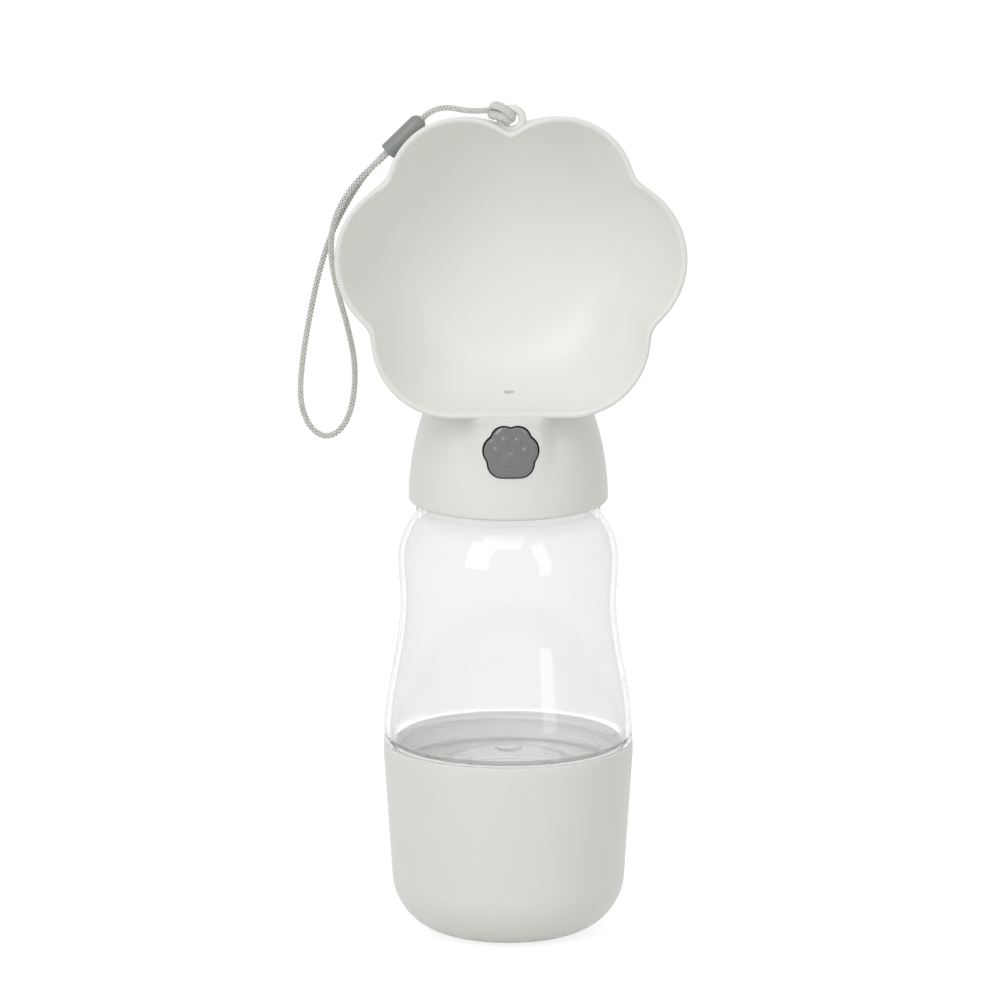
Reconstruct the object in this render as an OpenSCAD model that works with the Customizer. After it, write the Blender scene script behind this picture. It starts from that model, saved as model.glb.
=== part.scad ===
// Travel water bottle for a dog: a clear waisted bottle, a food cup screwed on below it and a cap above it
// that carries a paw-shaped drinking bowl, a push-button valve and a wrist lanyard.
// Millimetres. Z is up, the bowl and the button face -Y, the origin is the centre of the base.

/* [Food cup] */
// Height of the food cup, from the table to its rim
cup_h = 58.5; // [54:0.5:70]
// Outer radius of the cup at its rim
cup_r = 37.5; // [36.5:0.5:42]
// Outer radius of the cup just above its rounded foot
cup_foot_r = 35; // [33:0.5:36]
// Radius of the rounded foot
cup_corner_r = 18; // [14:0.5:20]
// Wall of the cup
cup_wall = 1.9; // [1.4:0.1:2.3]
// Wall of the cup where the bottle screws in
cup_thread_wall = 2.5; // [2.4:0.1:3]
// Height of the foot ring under the cup
foot_ring_h = 0.8; // [0.4:0.1:1.2]

/* [Bottle] */
// Height of the bottle from the cup's rim to the cap
bottle_h = 74.4; // [70:0.5:95]
// Wall of the bottle
bottle_wall = 1.8; // [1.2:0.1:2.2]
// Outer radius at the waist
waist_r = 32.5; // [30:0.5:34]
// Outer radius at the bulge above the waist
bulge_r = 33.1; // [31:0.1:35]
// Outer radius of the collar under the cap
collar_r = 27.7; // [27:0.1:29]
// Length of the spigot that screws into the food cup
spigot_h = 12.5; // [10:0.5:14]
// Rise of the pushed-up bottom
dome_h = 10; // [6:0.5:11]
// Length of the bottle's neck
neck_h = 8.2; // [7:0.1:9]
// Step from the collar in to the neck
neck_step = 3.7; // [3.6:0.1:4.2]

/* [Cap] */
// Height of the cap from its lower edge to the bottom of the bowl
cap_h = 31.3; // [31:0.1:36]
// Wall of the cap
cap_wall = 1.7; // [1.3:0.1:1.9]
// Radius of the arc that draws the cap in towards its top
cap_arc_r = 84; // [78:1:100]
// Width of the raised front panel
panel_w = 23.2; // [22.6:0.2:26]

/* [Bowl] */
// Depth of the bowl, from its rim back
bowl_depth = 38; // [36:0.5:42]
// Wall of the bowl
bowl_wall = 1.9; // [1.5:0.1:2.2]
// Radius that the bowl's lobes fade into towards its back
bowl_back_r = 44.5; // [43:0.5:46]
// How far the bowl's back sinks below the middle of its rim
bowl_sink = 3; // [0:0.5:4]

/* [Valve and button] */
// Travel of the button, and of the valve that it opens
stroke = 2.4; // [1.5:0.1:2.6]
// How far the button stands proud of its panel
button_proud = 0.8; // [0.3:0.1:1.2]
// Gap round the button
button_gap = 0.35; // [0.25:0.05:0.5]
// Radius of the valve stem
stem_r = 1.5; // [1.3:0.1:1.7]
// Radius of the valve plug
plug_r = 6.2; // [5.8:0.1:6.6]
// Thickness of the valve plug
plug_t = 2.4; // [2:0.1:2.6]
// Radius of the valve's throat
throat_r = 4; // [3.4:0.1:4.4]
// Outer radius of the outlet tube
tube_r = 3; // [2.6:0.1:3.1]
// Wall of the outlet tube
tube_wall = 1; // [0.8:0.1:1.2]
// Distance of the outlet in front of the valve stem
outlet_y = 9; // [8.8:0.1:10]

/* [Lanyard] */
// Diameter of the lanyard's cord
cord_d = 1.85; // [1.4:0.05:2]
// Length of the lanyard's sleeve
sleeve_len = 14.6; // [12:0.2:16]
// Diameter of the lanyard's sleeve
sleeve_d = 5.4; // [5:0.1:5.6]

/* [Hidden] */
$fn = 96;

eps = 0.01;
cut = 1;                  // how far a cutting tool runs past what it cuts
fit = 0.9;                // room for the threads of a screwed joint
slide_gap = 0.2;          // clearance of a sliding face
touch_gap = 0.05;         // clearance of a push fit

white = "#dadbd6";
clear = "#e9eff0";
grey = "#7a7c79";
silicone = "#ecebe6";
natural = "#efeee9";
steel = "#b4b6b8";
cord_grey = "#cbc7c0";

// ---------- levels and fits ----------
seam_z = cup_h;
thread_h = spigot_h + 2;                        // the cup's straight bore runs this deep
cup_bore_r = cup_r - cup_thread_wall;
spigot_r = cup_bore_r - fit;
seam_reveal = 0.1;                              // the bottle stands back this far from the cup at the seam
bottle_r = cup_r - seam_reveal;
cap_z = seam_z + bottle_h;
waist_z = seam_z + 0.577 * bottle_h;
bulge_z = seam_z + 0.739 * bottle_h;
collar_z = cap_z - 4.4;                         // where the shoulder meets the collar
collar_gap = 0.6;                               // gap between the collar and the cap round it
collar_top = cap_z + 0.4;
neck_r = collar_r - neck_step;
neck_bore_r = neck_r - bottle_wall;
neck_top = collar_top + neck_h;

neck_seal_t = 1.2;
seal_z = neck_top + neck_seal_t;                // underside of the inner cap's disc, and the valve's seat
disc_t = 2.2;
disc_z = seal_z + disc_t;
inner_cap_wall = 1.6;
inner_cap_bore_r = neck_r + fit;
inner_cap_r = inner_cap_bore_r + inner_cap_wall;
inner_cap_z = collar_top + 0.6;

cap_r = collar_r + collar_gap + cap_wall;
cap_edge_r = 1;                                 // rounded lower edge
panel_r = cap_r - 0.6;                          // the front panel and the rim share this distance
panel_wall = 2;
rim_y = -panel_r;

// ---------- the bowl's outline: five lobes, like a paw or a flower ----------
// each lobe is [x, height above the bowl's centre, radius]; the left ones mirror the right ones
top_lobe = [15, 24.7, 22];
side_lobe = [27.1, 2.7, 25.8];
low_lobe = [17.5, -21.5, 24.3];
bowl_drop = low_lobe[2] - low_lobe[1];          // from the bowl's centre to its lowest edge
bowl_bottom = cap_z + cap_h;
bowl_z = bowl_bottom + bowl_drop;
bowl_steps = 96;                                // points round the outline
bowl_rings = 11;                                // rings from the rim to the back
bowl_power = 3;                                 // squareness of the bowl's section
lip_r = 0.5;                                    // rounding of the rim
lobe_blend = 30;                                // higher means sharper creases between the lobes

// ---------- button ----------
button_top = [1.8, 3.2, 4.9];
button_side = [3.2, 0.7, 5.2];
button_low = [2.7, -3.2, 4.75];
button_rise = button_top[1] + button_top[2];
button_fall = button_low[2] - button_low[1];
button_z = bowl_bottom - 2 - button_rise;       // 2 mm of panel stays above the button
button_r = panel_r + button_proud;              // its face follows the panel's curve
flange_w = 18.6;
flange_t = 2.8;
flange_top = bowl_bottom - 0.8;
flange_low = button_z - button_fall - button_gap - 0.6;
flange_r = panel_r - panel_wall - touch_gap;
flange_y = flange_t - flange_r;                 // back of the flange
slot_w = flange_w + 2 * button_gap;             // hollow behind the panel
slot_low = 3;                                   // its lower end above the cap's edge
slot_roof = 0.3;                                // material left over it

// ---------- slider, ramp and stem ----------
rail_z = button_z + 0.9;
rail_t = 3.4;
rail_in = tube_r + 0.4;
rail_out = rail_in + 2.9;
plate_t = 1.8;
ramp_drop = 2.7;
ramp_low = rail_z - ramp_drop;
head_z = rail_z - 1;                            // centre of the stem's round head
ramp_gap = touch_gap;
ramp_c = head_z + sqrt(2) * (stem_r + ramp_gap); // the 45 degree ramp is z = y + ramp_c
block_y = 3;
window_y = tube_r - outlet_y + 0.4;             // back end of the window round the tube
guide_t = 1.5;
guide_y = [-19.6, -7.4];
guide_lip = 1.6;

turret_top = ramp_low - 0.8;
turret_r = 6;
chamber_r = 4.4;
lid_t = 2.6;
o_ring_r = 0.6;
port_z = disc_z + tube_r;
nipple_r = tube_r - tube_wall - touch_gap;
nipple_bore_r = nipple_r - 0.7;
nipple_y = 2 - outlet_y;

flange_stem_r = 4.6;
flange_stem_t = 1.2;
plug_z = seal_z - plug_t;
stem_flange_z = plug_z - flange_stem_t;
cage_t = 1.3;
cage_r = 9.6;
cage_z = cap_z + 0.3;
cage_top = cage_z + cage_t;
cage_leg = 2;
spring_r = 3.2;
spring_wire = 0.55;
spring_turns = 4;
tail_z = cage_z - 0.2;

// ---------- screws between the inner cap and the bosses in the cap ----------
screw_circle = 19;
screw_r = 1.3;
screw_head_r = 2.6;
screw_head_t = 1.5;
screw_len = 10;
boss_r = 3.1;
screw_angles = [90, 210, 330];

// ---------- lanyard ----------
lug_r = 3.3;                                    // centre line of the eye
lug_band = 1.15;
lug_y = rim_y + 5.9;
lug_x = 0.3;
lug_z = bowl_z + 44.7;
knot_angle = 126;                               // where the hitch sits on the eye
knot_r = lug_band + cord_d / 2 + 0.4;
knot_pitch = 0.92 * cord_d;                     // distance between the hitch's two turns
cord_sides = 8;

sleeve_low = [-36.4, -14, 242.8];
sleeve_high = [-26, -14, 253];
tether_path = [
    [-25.8, -14, 253.2], [-24.6, -14.1, 254.3], [-23, -14.5, 255.4], [-21.3, -15.3, 256.2],
    [-19.3, -16.3, 256.7], [-17, -17.4, 256.8], [-14.6, -18.5, 256.6], [-12.2, -19.6, 256.5],
    [-9.8, -20.8, 256.7], [-7.4, -22.2, 257.1], [-5.8, -23, 257.5], [-4.7, -23.4, 257.9]];
loop_path = [
    [-36.6, -13, 242.6], [-38.9, -13, 240.4], [-43.6, -13, 234.9], [-48.6, -13, 227], [-53.2, -13, 217.6],
    [-56.8, -13, 206.4], [-59.5, -13, 194], [-61.6, -13, 181.6], [-62.6, -13, 171],
    [-61.9, -13, 163.8], [-59.4, -13.1, 158.4], [-55.6, -13.6, 155.9], [-51.6, -14.3, 157.2],
    [-48.4, -15, 162], [-46.6, -15.6, 170], [-46.6, -16, 179.6], [-48.6, -16.3, 190],
    [-51.4, -16.4, 200.6], [-53.3, -16.4, 211], [-52.8, -16.2, 220.6], [-49.6, -15.8, 228.6],
    [-44.6, -15.3, 235.2], [-39.4, -15, 239.9], [-36.7, -14.95, 242.5]];

// ---------- helpers ----------
// distance from the centre to a circle's far side along a ray at angle a
function reach(c, a, side) =
    let (x = side * c[0], along = x * cos(a) + c[1] * sin(a), off = x * sin(a) - c[1] * cos(a))
    c[2] > abs(off) ? max(eps, along + sqrt(c[2] * c[2] - off * off)) : eps;

// distance to the straight edge under the two low lobes
function flat_reach(c, a) =
    let (drop = c[2] - c[1], r = sin(a) < -eps ? -drop / sin(a) : eps)
    abs(r * cos(a)) <= c[0] ? r : eps;

// outline of five lobes in polar form: a smooth maximum of the lobes, a little larger where two meet
function lobed(top, side, low, a) =
    let (l = max(reach(low, a, 1), reach(low, a, -1), flat_reach(low, a)),
        all = [reach(top, a, 1), reach(top, a, -1), reach(side, a, 1), reach(side, a, -1), l],
        big = max(all))
    big * pow(sum([for (r = all) pow(r / big, lobe_blend)]), 1 / lobe_blend);

function sum(v, i = 0) = i < len(v) ? v[i] + sum(v, i + 1) : 0;

function outline(top, side, low, grow, steps) =
    [for (i = [0:steps - 1]) let (a = 360 * i / steps, r = lobed(top, side, low, a) + grow)
        [r * cos(a), r * sin(a)]];

// an arc from angle a0 to a1 round c
function arc(c, r, a0, a1, n) = [for (i = [0:n]) let (a = a0 + (a1 - a0) * i / n) [c[0] + r * cos(a), c[1] + r * sin(a)]];

// a smooth S between two heights, upright at both ends
function s_curve(p, q, n) = [for (i = [0:n]) let (t = i / n, s = t * t * (3 - 2 * t))
    [p[0] + (q[0] - p[0]) * s, p[1] + (q[1] - p[1]) * t]];

function unit(v) = v / max(norm(v), eps * eps);

// one point of a smooth curve through three given points' neighbourhood
function blend4(a, b, c, d, t) = 0.5 * ((2 * b) + (c - a) * t + (2 * a - 5 * b + 4 * c - d) * t * t
    + (3 * b - a - 3 * c + d) * t * t * t);

// points a third of the way apart between the given ones
function smooth_path(p, n) = [for (i = [0:len(p) - 2]) for (k = [0:n - 1])
    blend4(p[max(i - 1, 0)], p[i], p[i + 1], p[min(i + 2, len(p) - 1)], k / n), p[len(p) - 1]];

function tangent(p, i) = unit(p[min(i + 1, len(p) - 1)] - p[max(i - 1, 0)]);

// closed tube of given radius along a path that never runs parallel to up
module tube_along(p, r, sides, up) {
    n = len(p);
    pts = [for (i = [0:n - 1]) let (t = tangent(p, i), u = unit(cross(t, up)), v = cross(u, t))
        for (k = [0:sides - 1]) let (a = 360 * k / sides) p[i] + r * (cos(a) * u + sin(a) * v)];
    walls = [for (i = [0:n - 2]) for (k = [0:sides - 1]) let (k2 = (k + 1) % sides, a = i * sides, b = a + sides)
        each [[a + k, a + k2, b + k2], [a + k, b + k2, b + k]]];
    ends = [[for (k = [sides - 1:-1:0]) k], [for (k = [0:sides - 1]) (n - 1) * sides + k]];
    polyhedron(points = pts, faces = concat(walls, ends), convexity = 6);
}

// solid bowl: rings of the lobed outline that shrink and fade into a round back
// wall is how far this skin lies inside the outer one, front is where its mouth is
module bowl_solid(wall, mouth) {
    deep = bowl_depth - wall;
    steps = bowl_steps;
    rows = concat(mouth, [for (k = [0:bowl_rings - 1]) let (t = 88 * k / (bowl_rings - 1))
        [k == 0 ? lip_r : deep * pow(sin(t), 2 / bowl_power), pow(cos(t), 2 / bowl_power), 0]]);
    ring = [for (i = [0:steps - 1]) lobed(top_lobe, side_lobe, low_lobe, 360 * i / steps)];
    pts = concat([for (row = rows) for (i = [0:steps - 1])
        let (a = 360 * i / steps, u = max(0, row[0]) / deep,
            r = row[1] * (ring[i] * (1 - u) + bowl_back_r * u - wall) + row[2])
        [r * cos(a), rim_y + row[0], bowl_z - bowl_sink * u + r * sin(a)]],
        [[0, rim_y + rows[0][0], bowl_z], [0, rim_y + deep, bowl_z - bowl_sink]]);
    last = (len(rows) - 1) * steps;
    front = len(rows) * steps;
    walls = [for (j = [0:len(rows) - 2]) for (i = [0:steps - 1]) let (i2 = (i + 1) % steps, a = j * steps, b = a + steps)
        each [[a + i, a + i2, b + i2], [a + i, b + i2, b + i]]];
    mouth_fan = [for (i = [0:steps - 1]) [(i + 1) % steps, i, front]];
    back_fan = [for (i = [0:steps - 1]) [last + i, last + (i + 1) % steps, front + 1]];
    polyhedron(points = pts, faces = concat(walls, mouth_fan, back_fan), convexity = 8);
}

// shape extruded along Y from y0 to y1, drawn in X and Z
module along_y(y0, y1) {
    translate([0, y1, 0]) rotate([90, 0, 0]) linear_extrude(y1 - y0) children();
}

module ring(r_out, r_in, h) {
    difference() {
        cylinder(r = r_out, h = h);
        translate([0, 0, -cut]) cylinder(r = r_in, h = h + 2 * cut);
    }
}

module block(x0, x1, y0, y1, z0, z1) {
    translate([x0, y0, z0]) cube([x1 - x0, y1 - y0, z1 - z0]);
}

// ---------- food cup ----------
// the foot's arc ends where its tangent runs to the rim
foot_c = [cup_foot_r - cup_corner_r, cup_corner_r];
rim_start = [cup_r, cup_h - 4];
to_rim = rim_start - foot_c;
foot_end = atan2(to_rim[1], to_rim[0]) - acos(cup_corner_r / norm(to_rim));

module cup_profile_outer() {
    polygon(concat([[0, foot_ring_h], [foot_c[0] - 3, foot_ring_h], [foot_c[0] - 2, 0]],
        arc(foot_c, cup_corner_r, -90, foot_end, 16),
        [rim_start], arc([cup_r - 0.5, cup_h - 0.5], 0.5, 0, 90, 4), [[0, cup_h]]));
}

module cup_profile_inner() {
    in_r = cup_corner_r - cup_wall;
    floor_z = cup_wall + foot_ring_h;
    polygon(concat([[0, floor_z]],
        arc([foot_c[0], floor_z + in_r], in_r, -90, foot_end, 16),
        [[cup_r - cup_wall - 0.9, cup_h - thread_h - 1], [cup_bore_r, cup_h - thread_h],
            [cup_bore_r, cup_h - 0.4], [cup_bore_r + 0.4, cup_h], [cup_bore_r + 0.4, cup_h + cut], [0, cup_h + cut]]));
}

module food_cup() color(white) rotate_extrude() difference() {
    cup_profile_outer();
    cup_profile_inner();
}

// ---------- bottle ----------
shoulder_rise = collar_z - (bulge_z + 1.1);
shoulder_drop = bulge_r - collar_r;
shoulder_arc = (shoulder_rise * shoulder_rise + shoulder_drop * shoulder_drop) / (2 * shoulder_drop);
shoulder_end = asin(shoulder_rise / shoulder_arc);
heel_r = 4;
heel_z = seam_z - spigot_h;
dome_edge = spigot_r - heel_r - 3.6;
dome_r = (dome_edge * dome_edge + dome_h * dome_h) / (2 * dome_h);
dome_c = [0, heel_z + dome_h - dome_r];
dome_a = acos(dome_edge / dome_r);
seal_groove_z = heel_z + 5;
seal_wire = 0.9;                                // radius of the cup seal's section
seal_proud = fit - 0.1;                         // how far the seal stands out of its groove
seal_mid_r = spigot_r + seal_proud - seal_wire;

// from the seam up to the collar, moved inwards by wall
function body_side(wall) = concat(
    [[bottle_r - wall, seam_z + 1.5]],
    s_curve([bottle_r - wall, seam_z + 2], [waist_r - wall, waist_z], 24),
    s_curve([waist_r - wall, waist_z + 0.4], [bulge_r - wall, bulge_z], 8),
    arc([bulge_r - shoulder_arc, bulge_z + 1.1], shoulder_arc - wall, 0, shoulder_end, 12));

module bottle_profile_outer() {
    polygon(concat([[0, heel_z + dome_h]], arc(dome_c, dome_r, 90, dome_a, 14),
        [[dome_edge + 0.8, heel_z]], arc([spigot_r - heel_r, heel_z + heel_r], heel_r, -90, 0, 8),
        [[spigot_r, seam_z], [bottle_r - 0.5, seam_z], [bottle_r, seam_z + 0.5]],
        body_side(0),
        [[collar_r, collar_z + 0.6], [collar_r, collar_top - 0.4], [collar_r - 0.4, collar_top],
            [neck_r, collar_top], [neck_r, neck_top - 0.3], [neck_r - 0.3, neck_top], [0, neck_top]]));
}

module bottle_profile_inner() {
    bore = spigot_r - bottle_wall;
    top = heel_z + dome_h + bottle_wall;
    polygon(concat([[0, top]], arc(dome_c, dome_r + bottle_wall, 90, dome_a + 4, 14),
        arc([bore - 2.2, heel_z + bottle_wall + 2.2], 2.2, -90, 0, 6),
        [[bore, seam_z - 0.5]],
        body_side(bottle_wall),
        [[neck_bore_r + 0.6, collar_z + 3], [neck_bore_r, collar_z + 4.4],
            [neck_bore_r, neck_top + cut], [0, neck_top + cut]]));
}

module bottle() color(clear, 0.35) difference() {
    rotate_extrude() difference() {
        union() {
            bottle_profile_outer();
            translate([0, heel_z + dome_h]) square([4, bottle_wall + 0.5]);   // gate mark in the middle
        }
        difference() {
            bottle_profile_inner();
            translate([0, heel_z + dome_h]) square([4, bottle_wall + 0.5]);
        }
        translate([seal_mid_r - seal_wire - touch_gap, seal_groove_z - seal_wire - touch_gap])
            square([2 * seal_wire, 2 * (seal_wire + touch_gap)]);
    }
}

module cup_seal() color(silicone) translate([0, 0, seal_groove_z]) rotate_extrude()
    translate([seal_mid_r, 0]) circle(r = seal_wire, $fn = 32);

module neck_seal() color(silicone) translate([0, 0, neck_top])
    ring(neck_r + fit / 2, neck_bore_r - 0.1, neck_seal_t);

// ---------- cap with its bowl ----------
arc_c = [cap_r - cap_arc_r, cap_z];
function cap_side(wall, a0, a1) = arc(arc_c, cap_arc_r - wall, a0, a1, 24);
cap_close = acos((cap_arc_r - cap_r) / (cap_arc_r - cap_wall));    // where the inner arc meets the axis

module cap_outer() rotate_extrude() intersection() {
    polygon(concat([[0, cap_z], [cap_r - 2 * cap_edge_r, cap_z]],
        arc([cap_r - cap_edge_r, cap_z + cap_edge_r], cap_edge_r, -90, 0, 6), cap_side(0, 1, cap_close), [[0, cap_z + cap_arc_r]]));
    square([cap_r, cap_arc_r + cap_z]);
}

module cap_hollow() rotate_extrude()
    polygon(concat([[0, cap_z - cut], [cap_r - cap_wall, cap_z - cut]], cap_side(cap_wall, 0, cap_close - 0.5),
        [[0, cap_z + (cap_arc_r - cap_wall) * sin(cap_close - 0.5)]]));

module front_sector(r, w, z0, z1) intersection() {
    translate([0, 0, z0]) cylinder(r = r, h = z1 - z0);
    block(-w / 2, w / 2, -r - cut, -r / 3, z0 - cut, z1 + cut);
}

module lug_eye() translate([lug_x, lug_y, lug_z]) rotate([90, 0, 0]) rotate_extrude()
    translate([lug_r, 0]) circle(r = lug_band, $fn = 32);

module bosses() intersection() {
    for (a = screw_angles) rotate(a) translate([screw_circle, 0, disc_z]) cylinder(r = boss_r, h = cap_h);
    cap_outer();
}

module bowl_cap() color(white) difference() {
    union() {
        difference() {
            union() {
                cap_outer();
                front_sector(panel_r, panel_w, cap_z + cap_edge_r, bowl_bottom + cut);
            }
            cap_hollow();
            front_sector(panel_r - panel_wall, slot_w, cap_z + slot_low, bowl_bottom - slot_roof);
        }
        bosses();
        translate([0, -outlet_y, rail_z + rail_t + 0.8]) cylinder(r = tube_r + 1.3, h = bowl_drop / 4);
        bowl_solid(0, [[0, 1, -lip_r], [0.15, 1, -0.15]]);
        lug_eye();
    }
    bowl_solid(bowl_wall, [[-cut, 1, lip_r], [0, 1, lip_r], [0.15, 1, 0.15]]);
    translate([0, -outlet_y, rail_z]) cylinder(r = tube_r + touch_gap, h = tube_top - rail_z + touch_gap);
    translate([0, -outlet_y, rail_z]) cylinder(r = tube_r - tube_wall, h = bowl_drop / 2);
    translate([0, 0, button_z]) along_y(-panel_r - cut, -panel_r / 2)
        polygon(outline(button_top, button_side, button_low, button_gap, 60));
    for (a = screw_angles) rotate(a) translate([screw_circle, 0, disc_z - cut])
        cylinder(r = screw_r + touch_gap, h = screw_len);
}

// ---------- inner cap: threaded sleeve, valve seat and chamber, slider guides ----------
tube_top = bowl_bottom + 0.9;

module guide(side) {
    in_x = rail_out + slide_gap;
    mirror([side, 0, 0]) difference() {
        block(rail_out - guide_t, in_x + guide_t, guide_y[0], guide_y[1], disc_z - eps, rail_z + rail_t + guide_lip);
        block(0, in_x, guide_y[0] - cut, guide_y[1] + cut, rail_z - slide_gap / 2, rail_z + rail_t + slide_gap / 2);
        block(0, in_x, guide_y[0] - cut, guide_y[1] + cut, disc_z, rail_z - guide_lip);
    }
}

module inner_cap() color(natural) difference() {
    union() {
        difference() {
            union() {
                translate([0, 0, inner_cap_z]) cylinder(r = inner_cap_r, h = disc_z - inner_cap_z);
                translate([0, 0, seal_z]) cylinder(r = inner_cap_r + 0.5, h = disc_t);
            }
            translate([0, 0, inner_cap_z - cut]) cylinder(r = inner_cap_bore_r, h = seal_z - inner_cap_z + cut);
        }
        translate([0, 0, disc_z - eps]) cylinder(r = turret_r, h = turret_top - disc_z + eps);
        translate([0, 0, port_z]) rotate([90, 0, 0]) cylinder(r = nipple_r, h = -nipple_y);
        guide(0);
        guide(1);
    }
    translate([0, 0, seal_z - cut]) cylinder(r = throat_r, h = disc_t + 2 * cut);
    translate([0, 0, disc_z]) cylinder(r = chamber_r, h = turret_top - lid_t - disc_z);
    translate([0, 0, disc_z]) cylinder(r = stem_r + touch_gap, h = turret_top - disc_z + cut);
    translate([0, 0, turret_top - lid_t / 2]) rotate_extrude()
        translate([0, -o_ring_r - touch_gap]) square([stem_r + 2 * o_ring_r + 2 * touch_gap, 2 * (o_ring_r + touch_gap)]);
    translate([0, 0, port_z]) rotate([90, 0, 0]) cylinder(r = nipple_bore_r, h = outlet_y);
    for (a = screw_angles) rotate(a) translate([screw_circle, 0, seal_z - cut])
        cylinder(r = screw_r + slide_gap, h = disc_t + 2 * cut);
}

module inner_cap_screws() color(steel) for (a = screw_angles) rotate(a) translate([screw_circle, 0, seal_z]) {
    rotate_extrude() difference() {
        polygon([[0, -screw_head_t], [screw_head_r - 0.6, -screw_head_t], [screw_head_r, -screw_head_t + 0.6],
            [screw_head_r, 0], [screw_r, 0], [screw_r, screw_len - 1.6], [0.3, screw_len - 0.4], [0, screw_len - 0.4]]);
        translate([0, -screw_head_t - cut]) square([0.9, cut + 0.8]);
    }
}

// ---------- valve ----------
module valve_cage() color(natural) difference() {
    translate([0, 0, cage_z]) cylinder(r = cage_r, h = seal_z - cage_z);
    translate([0, 0, cage_top]) cylinder(r = cage_r - cage_leg, h = seal_z);
    translate([0, 0, cage_z - cut]) cylinder(r = stem_r + 0.1, h = cage_t + 2 * cut);
    for (a = [30:120:270]) rotate(a) {
        block(spring_r + 1, cage_r + cut, -cage_r * 0.62, cage_r * 0.62, cage_top, seal_z - cage_t);
        translate([spring_r + 2.6, 0, cage_z - cut]) cylinder(r = 1.5, h = cage_t + 2 * cut);
    }
}

module valve_spring() color(steel) {
    low = cage_top + spring_wire / 2 + 0.03;
    rise = stem_flange_z - low - spring_wire / 2 - 0.03;
    n = spring_turns * 12;
    tube_along([for (i = [0:n]) let (a = 360 * i / 12)
        [spring_r * cos(a), spring_r * sin(a), low + rise * i / n]], spring_wire / 2, 6, [0, 0, 1]);
}

module valve_plug() color(silicone) translate([0, 0, plug_z]) rotate_extrude()
    polygon([[stem_r + touch_gap, 0], [plug_r - 0.6, 0], [plug_r, 0.6], [plug_r, plug_t - 0.5],
        [plug_r - 0.5, plug_t], [stem_r + 1.4, plug_t], [stem_r + touch_gap, plug_t - 0.6]]);

module valve_stem() color(natural) {
    rotate_extrude() polygon(concat(
        [[0, tail_z], [stem_r - 0.4, tail_z], [stem_r, tail_z + 0.4], [stem_r, stem_flange_z],
            [flange_stem_r, stem_flange_z], [flange_stem_r, plug_z], [stem_r, plug_z]],
        arc([0, head_z], stem_r, 0, 90, 8)));
}

module stem_o_ring() color("#3b3d3e") translate([0, 0, turret_top - lid_t / 2]) rotate_extrude()
    translate([stem_r + o_ring_r + touch_gap, 0]) circle(r = o_ring_r, $fn = 24);

module outlet_tube() color(silicone) difference() {
    union() {
        translate([0, -outlet_y, port_z]) cylinder(r = tube_r, h = tube_top - port_z);
        translate([0, -turret_r - touch_gap, port_z]) rotate([90, 0, 0])
            cylinder(r = tube_r, h = outlet_y - turret_r - touch_gap);
        translate([0, -outlet_y, port_z]) sphere(r = tube_r);
    }
    translate([0, -outlet_y, port_z]) cylinder(r = tube_r - tube_wall, h = tube_top);
    translate([0, 0, port_z]) rotate([90, 0, 0]) cylinder(r = tube_r - tube_wall, h = outlet_y);
    translate([0, -outlet_y, port_z]) sphere(r = tube_r - tube_wall);
}

// ---------- button ----------
module button() color(grey) union() {
    intersection() {
        translate([0, 0, button_z]) along_y(-button_r - cut, flange_y)
            polygon(outline(button_top, button_side, button_low, 0, 60));
        cylinder(r = button_r, h = 2 * bowl_bottom);
    }
    intersection() {
        block(-flange_w / 2, flange_w / 2, -flange_r, flange_y, flange_low, flange_top);
        cylinder(r = flange_r, h = 2 * bowl_bottom);
    }
}

module button_slider() color(natural) difference() {
    union() {
        block(-rail_out, rail_out, flange_y, flange_y + plate_t, ramp_low, rail_z + rail_t);
        block(-rail_out, rail_out, flange_y, block_y, rail_z, rail_z + rail_t);
        block(-rail_out, rail_out, window_y, block_y, ramp_low, rail_z + rail_t);
    }
    block(-rail_in, rail_in, window_y - 2 * tube_r - stroke - 0.8, window_y, ramp_low - cut, rail_z + rail_t + cut);
    // the ramp: everything behind and below the plane z = y + ramp_c
    along_x(-rail_out - cut, rail_out + cut) polygon([[ramp_low - ramp_c - cut, ramp_low - cut],
        [block_y + cut, block_y + ramp_c + cut], [block_y + cut, ramp_low - cut]]);
}

// shape extruded along X from x0 to x1, drawn in Y and Z
module along_x(x0, x1) {
    translate([x0, 0, 0]) rotate([90, 0, 90]) linear_extrude(x1 - x0) children();
}

// ---------- lanyard ----------
module tether_knot() color(cord_grey) {
    c = [lug_x + lug_r * cos(knot_angle), lug_y, lug_z + lug_r * sin(knot_angle)];
    translate(c) rotate([0, -knot_angle, 0]) union() {
        for (s = [-1, 1]) translate([0, 0, s * knot_pitch / 2]) rotate_extrude()
            translate([knot_r, 0]) circle(r = cord_d / 2, $fn = 24);
    }
}

module lanyard_tether() color(cord_grey) tube_along(smooth_path(tether_path, 2), cord_d / 2, cord_sides, [0, 1, 0]);

module lanyard_loop() color(cord_grey) tube_along(smooth_path(loop_path, 3), cord_d / 2, cord_sides, [0, 1, 0]);

module lanyard_sleeve() color(grey) {
    d = sleeve_high - sleeve_low;
    turn = atan2(d[0], d[2]);
    translate(sleeve_low) rotate([0, turn, 0]) rotate_extrude()
        polygon(concat([[0, 0], [sleeve_d / 2 - 0.3, 0], [sleeve_d / 2, 0.3]],
            arc([sleeve_d / 2 - 1.8, sleeve_len - 1.8], 1.8, 0, 90, 6), [[0, sleeve_len]]));
}

food_cup();
cup_seal();
bottle();
neck_seal();
bowl_cap();
inner_cap();
inner_cap_screws();
valve_cage();
valve_spring();
valve_plug();
valve_stem();
stem_o_ring();
outlet_tube();
button();
button_slider();
tether_knot();
lanyard_tether();
lanyard_sleeve();
lanyard_loop();
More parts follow.
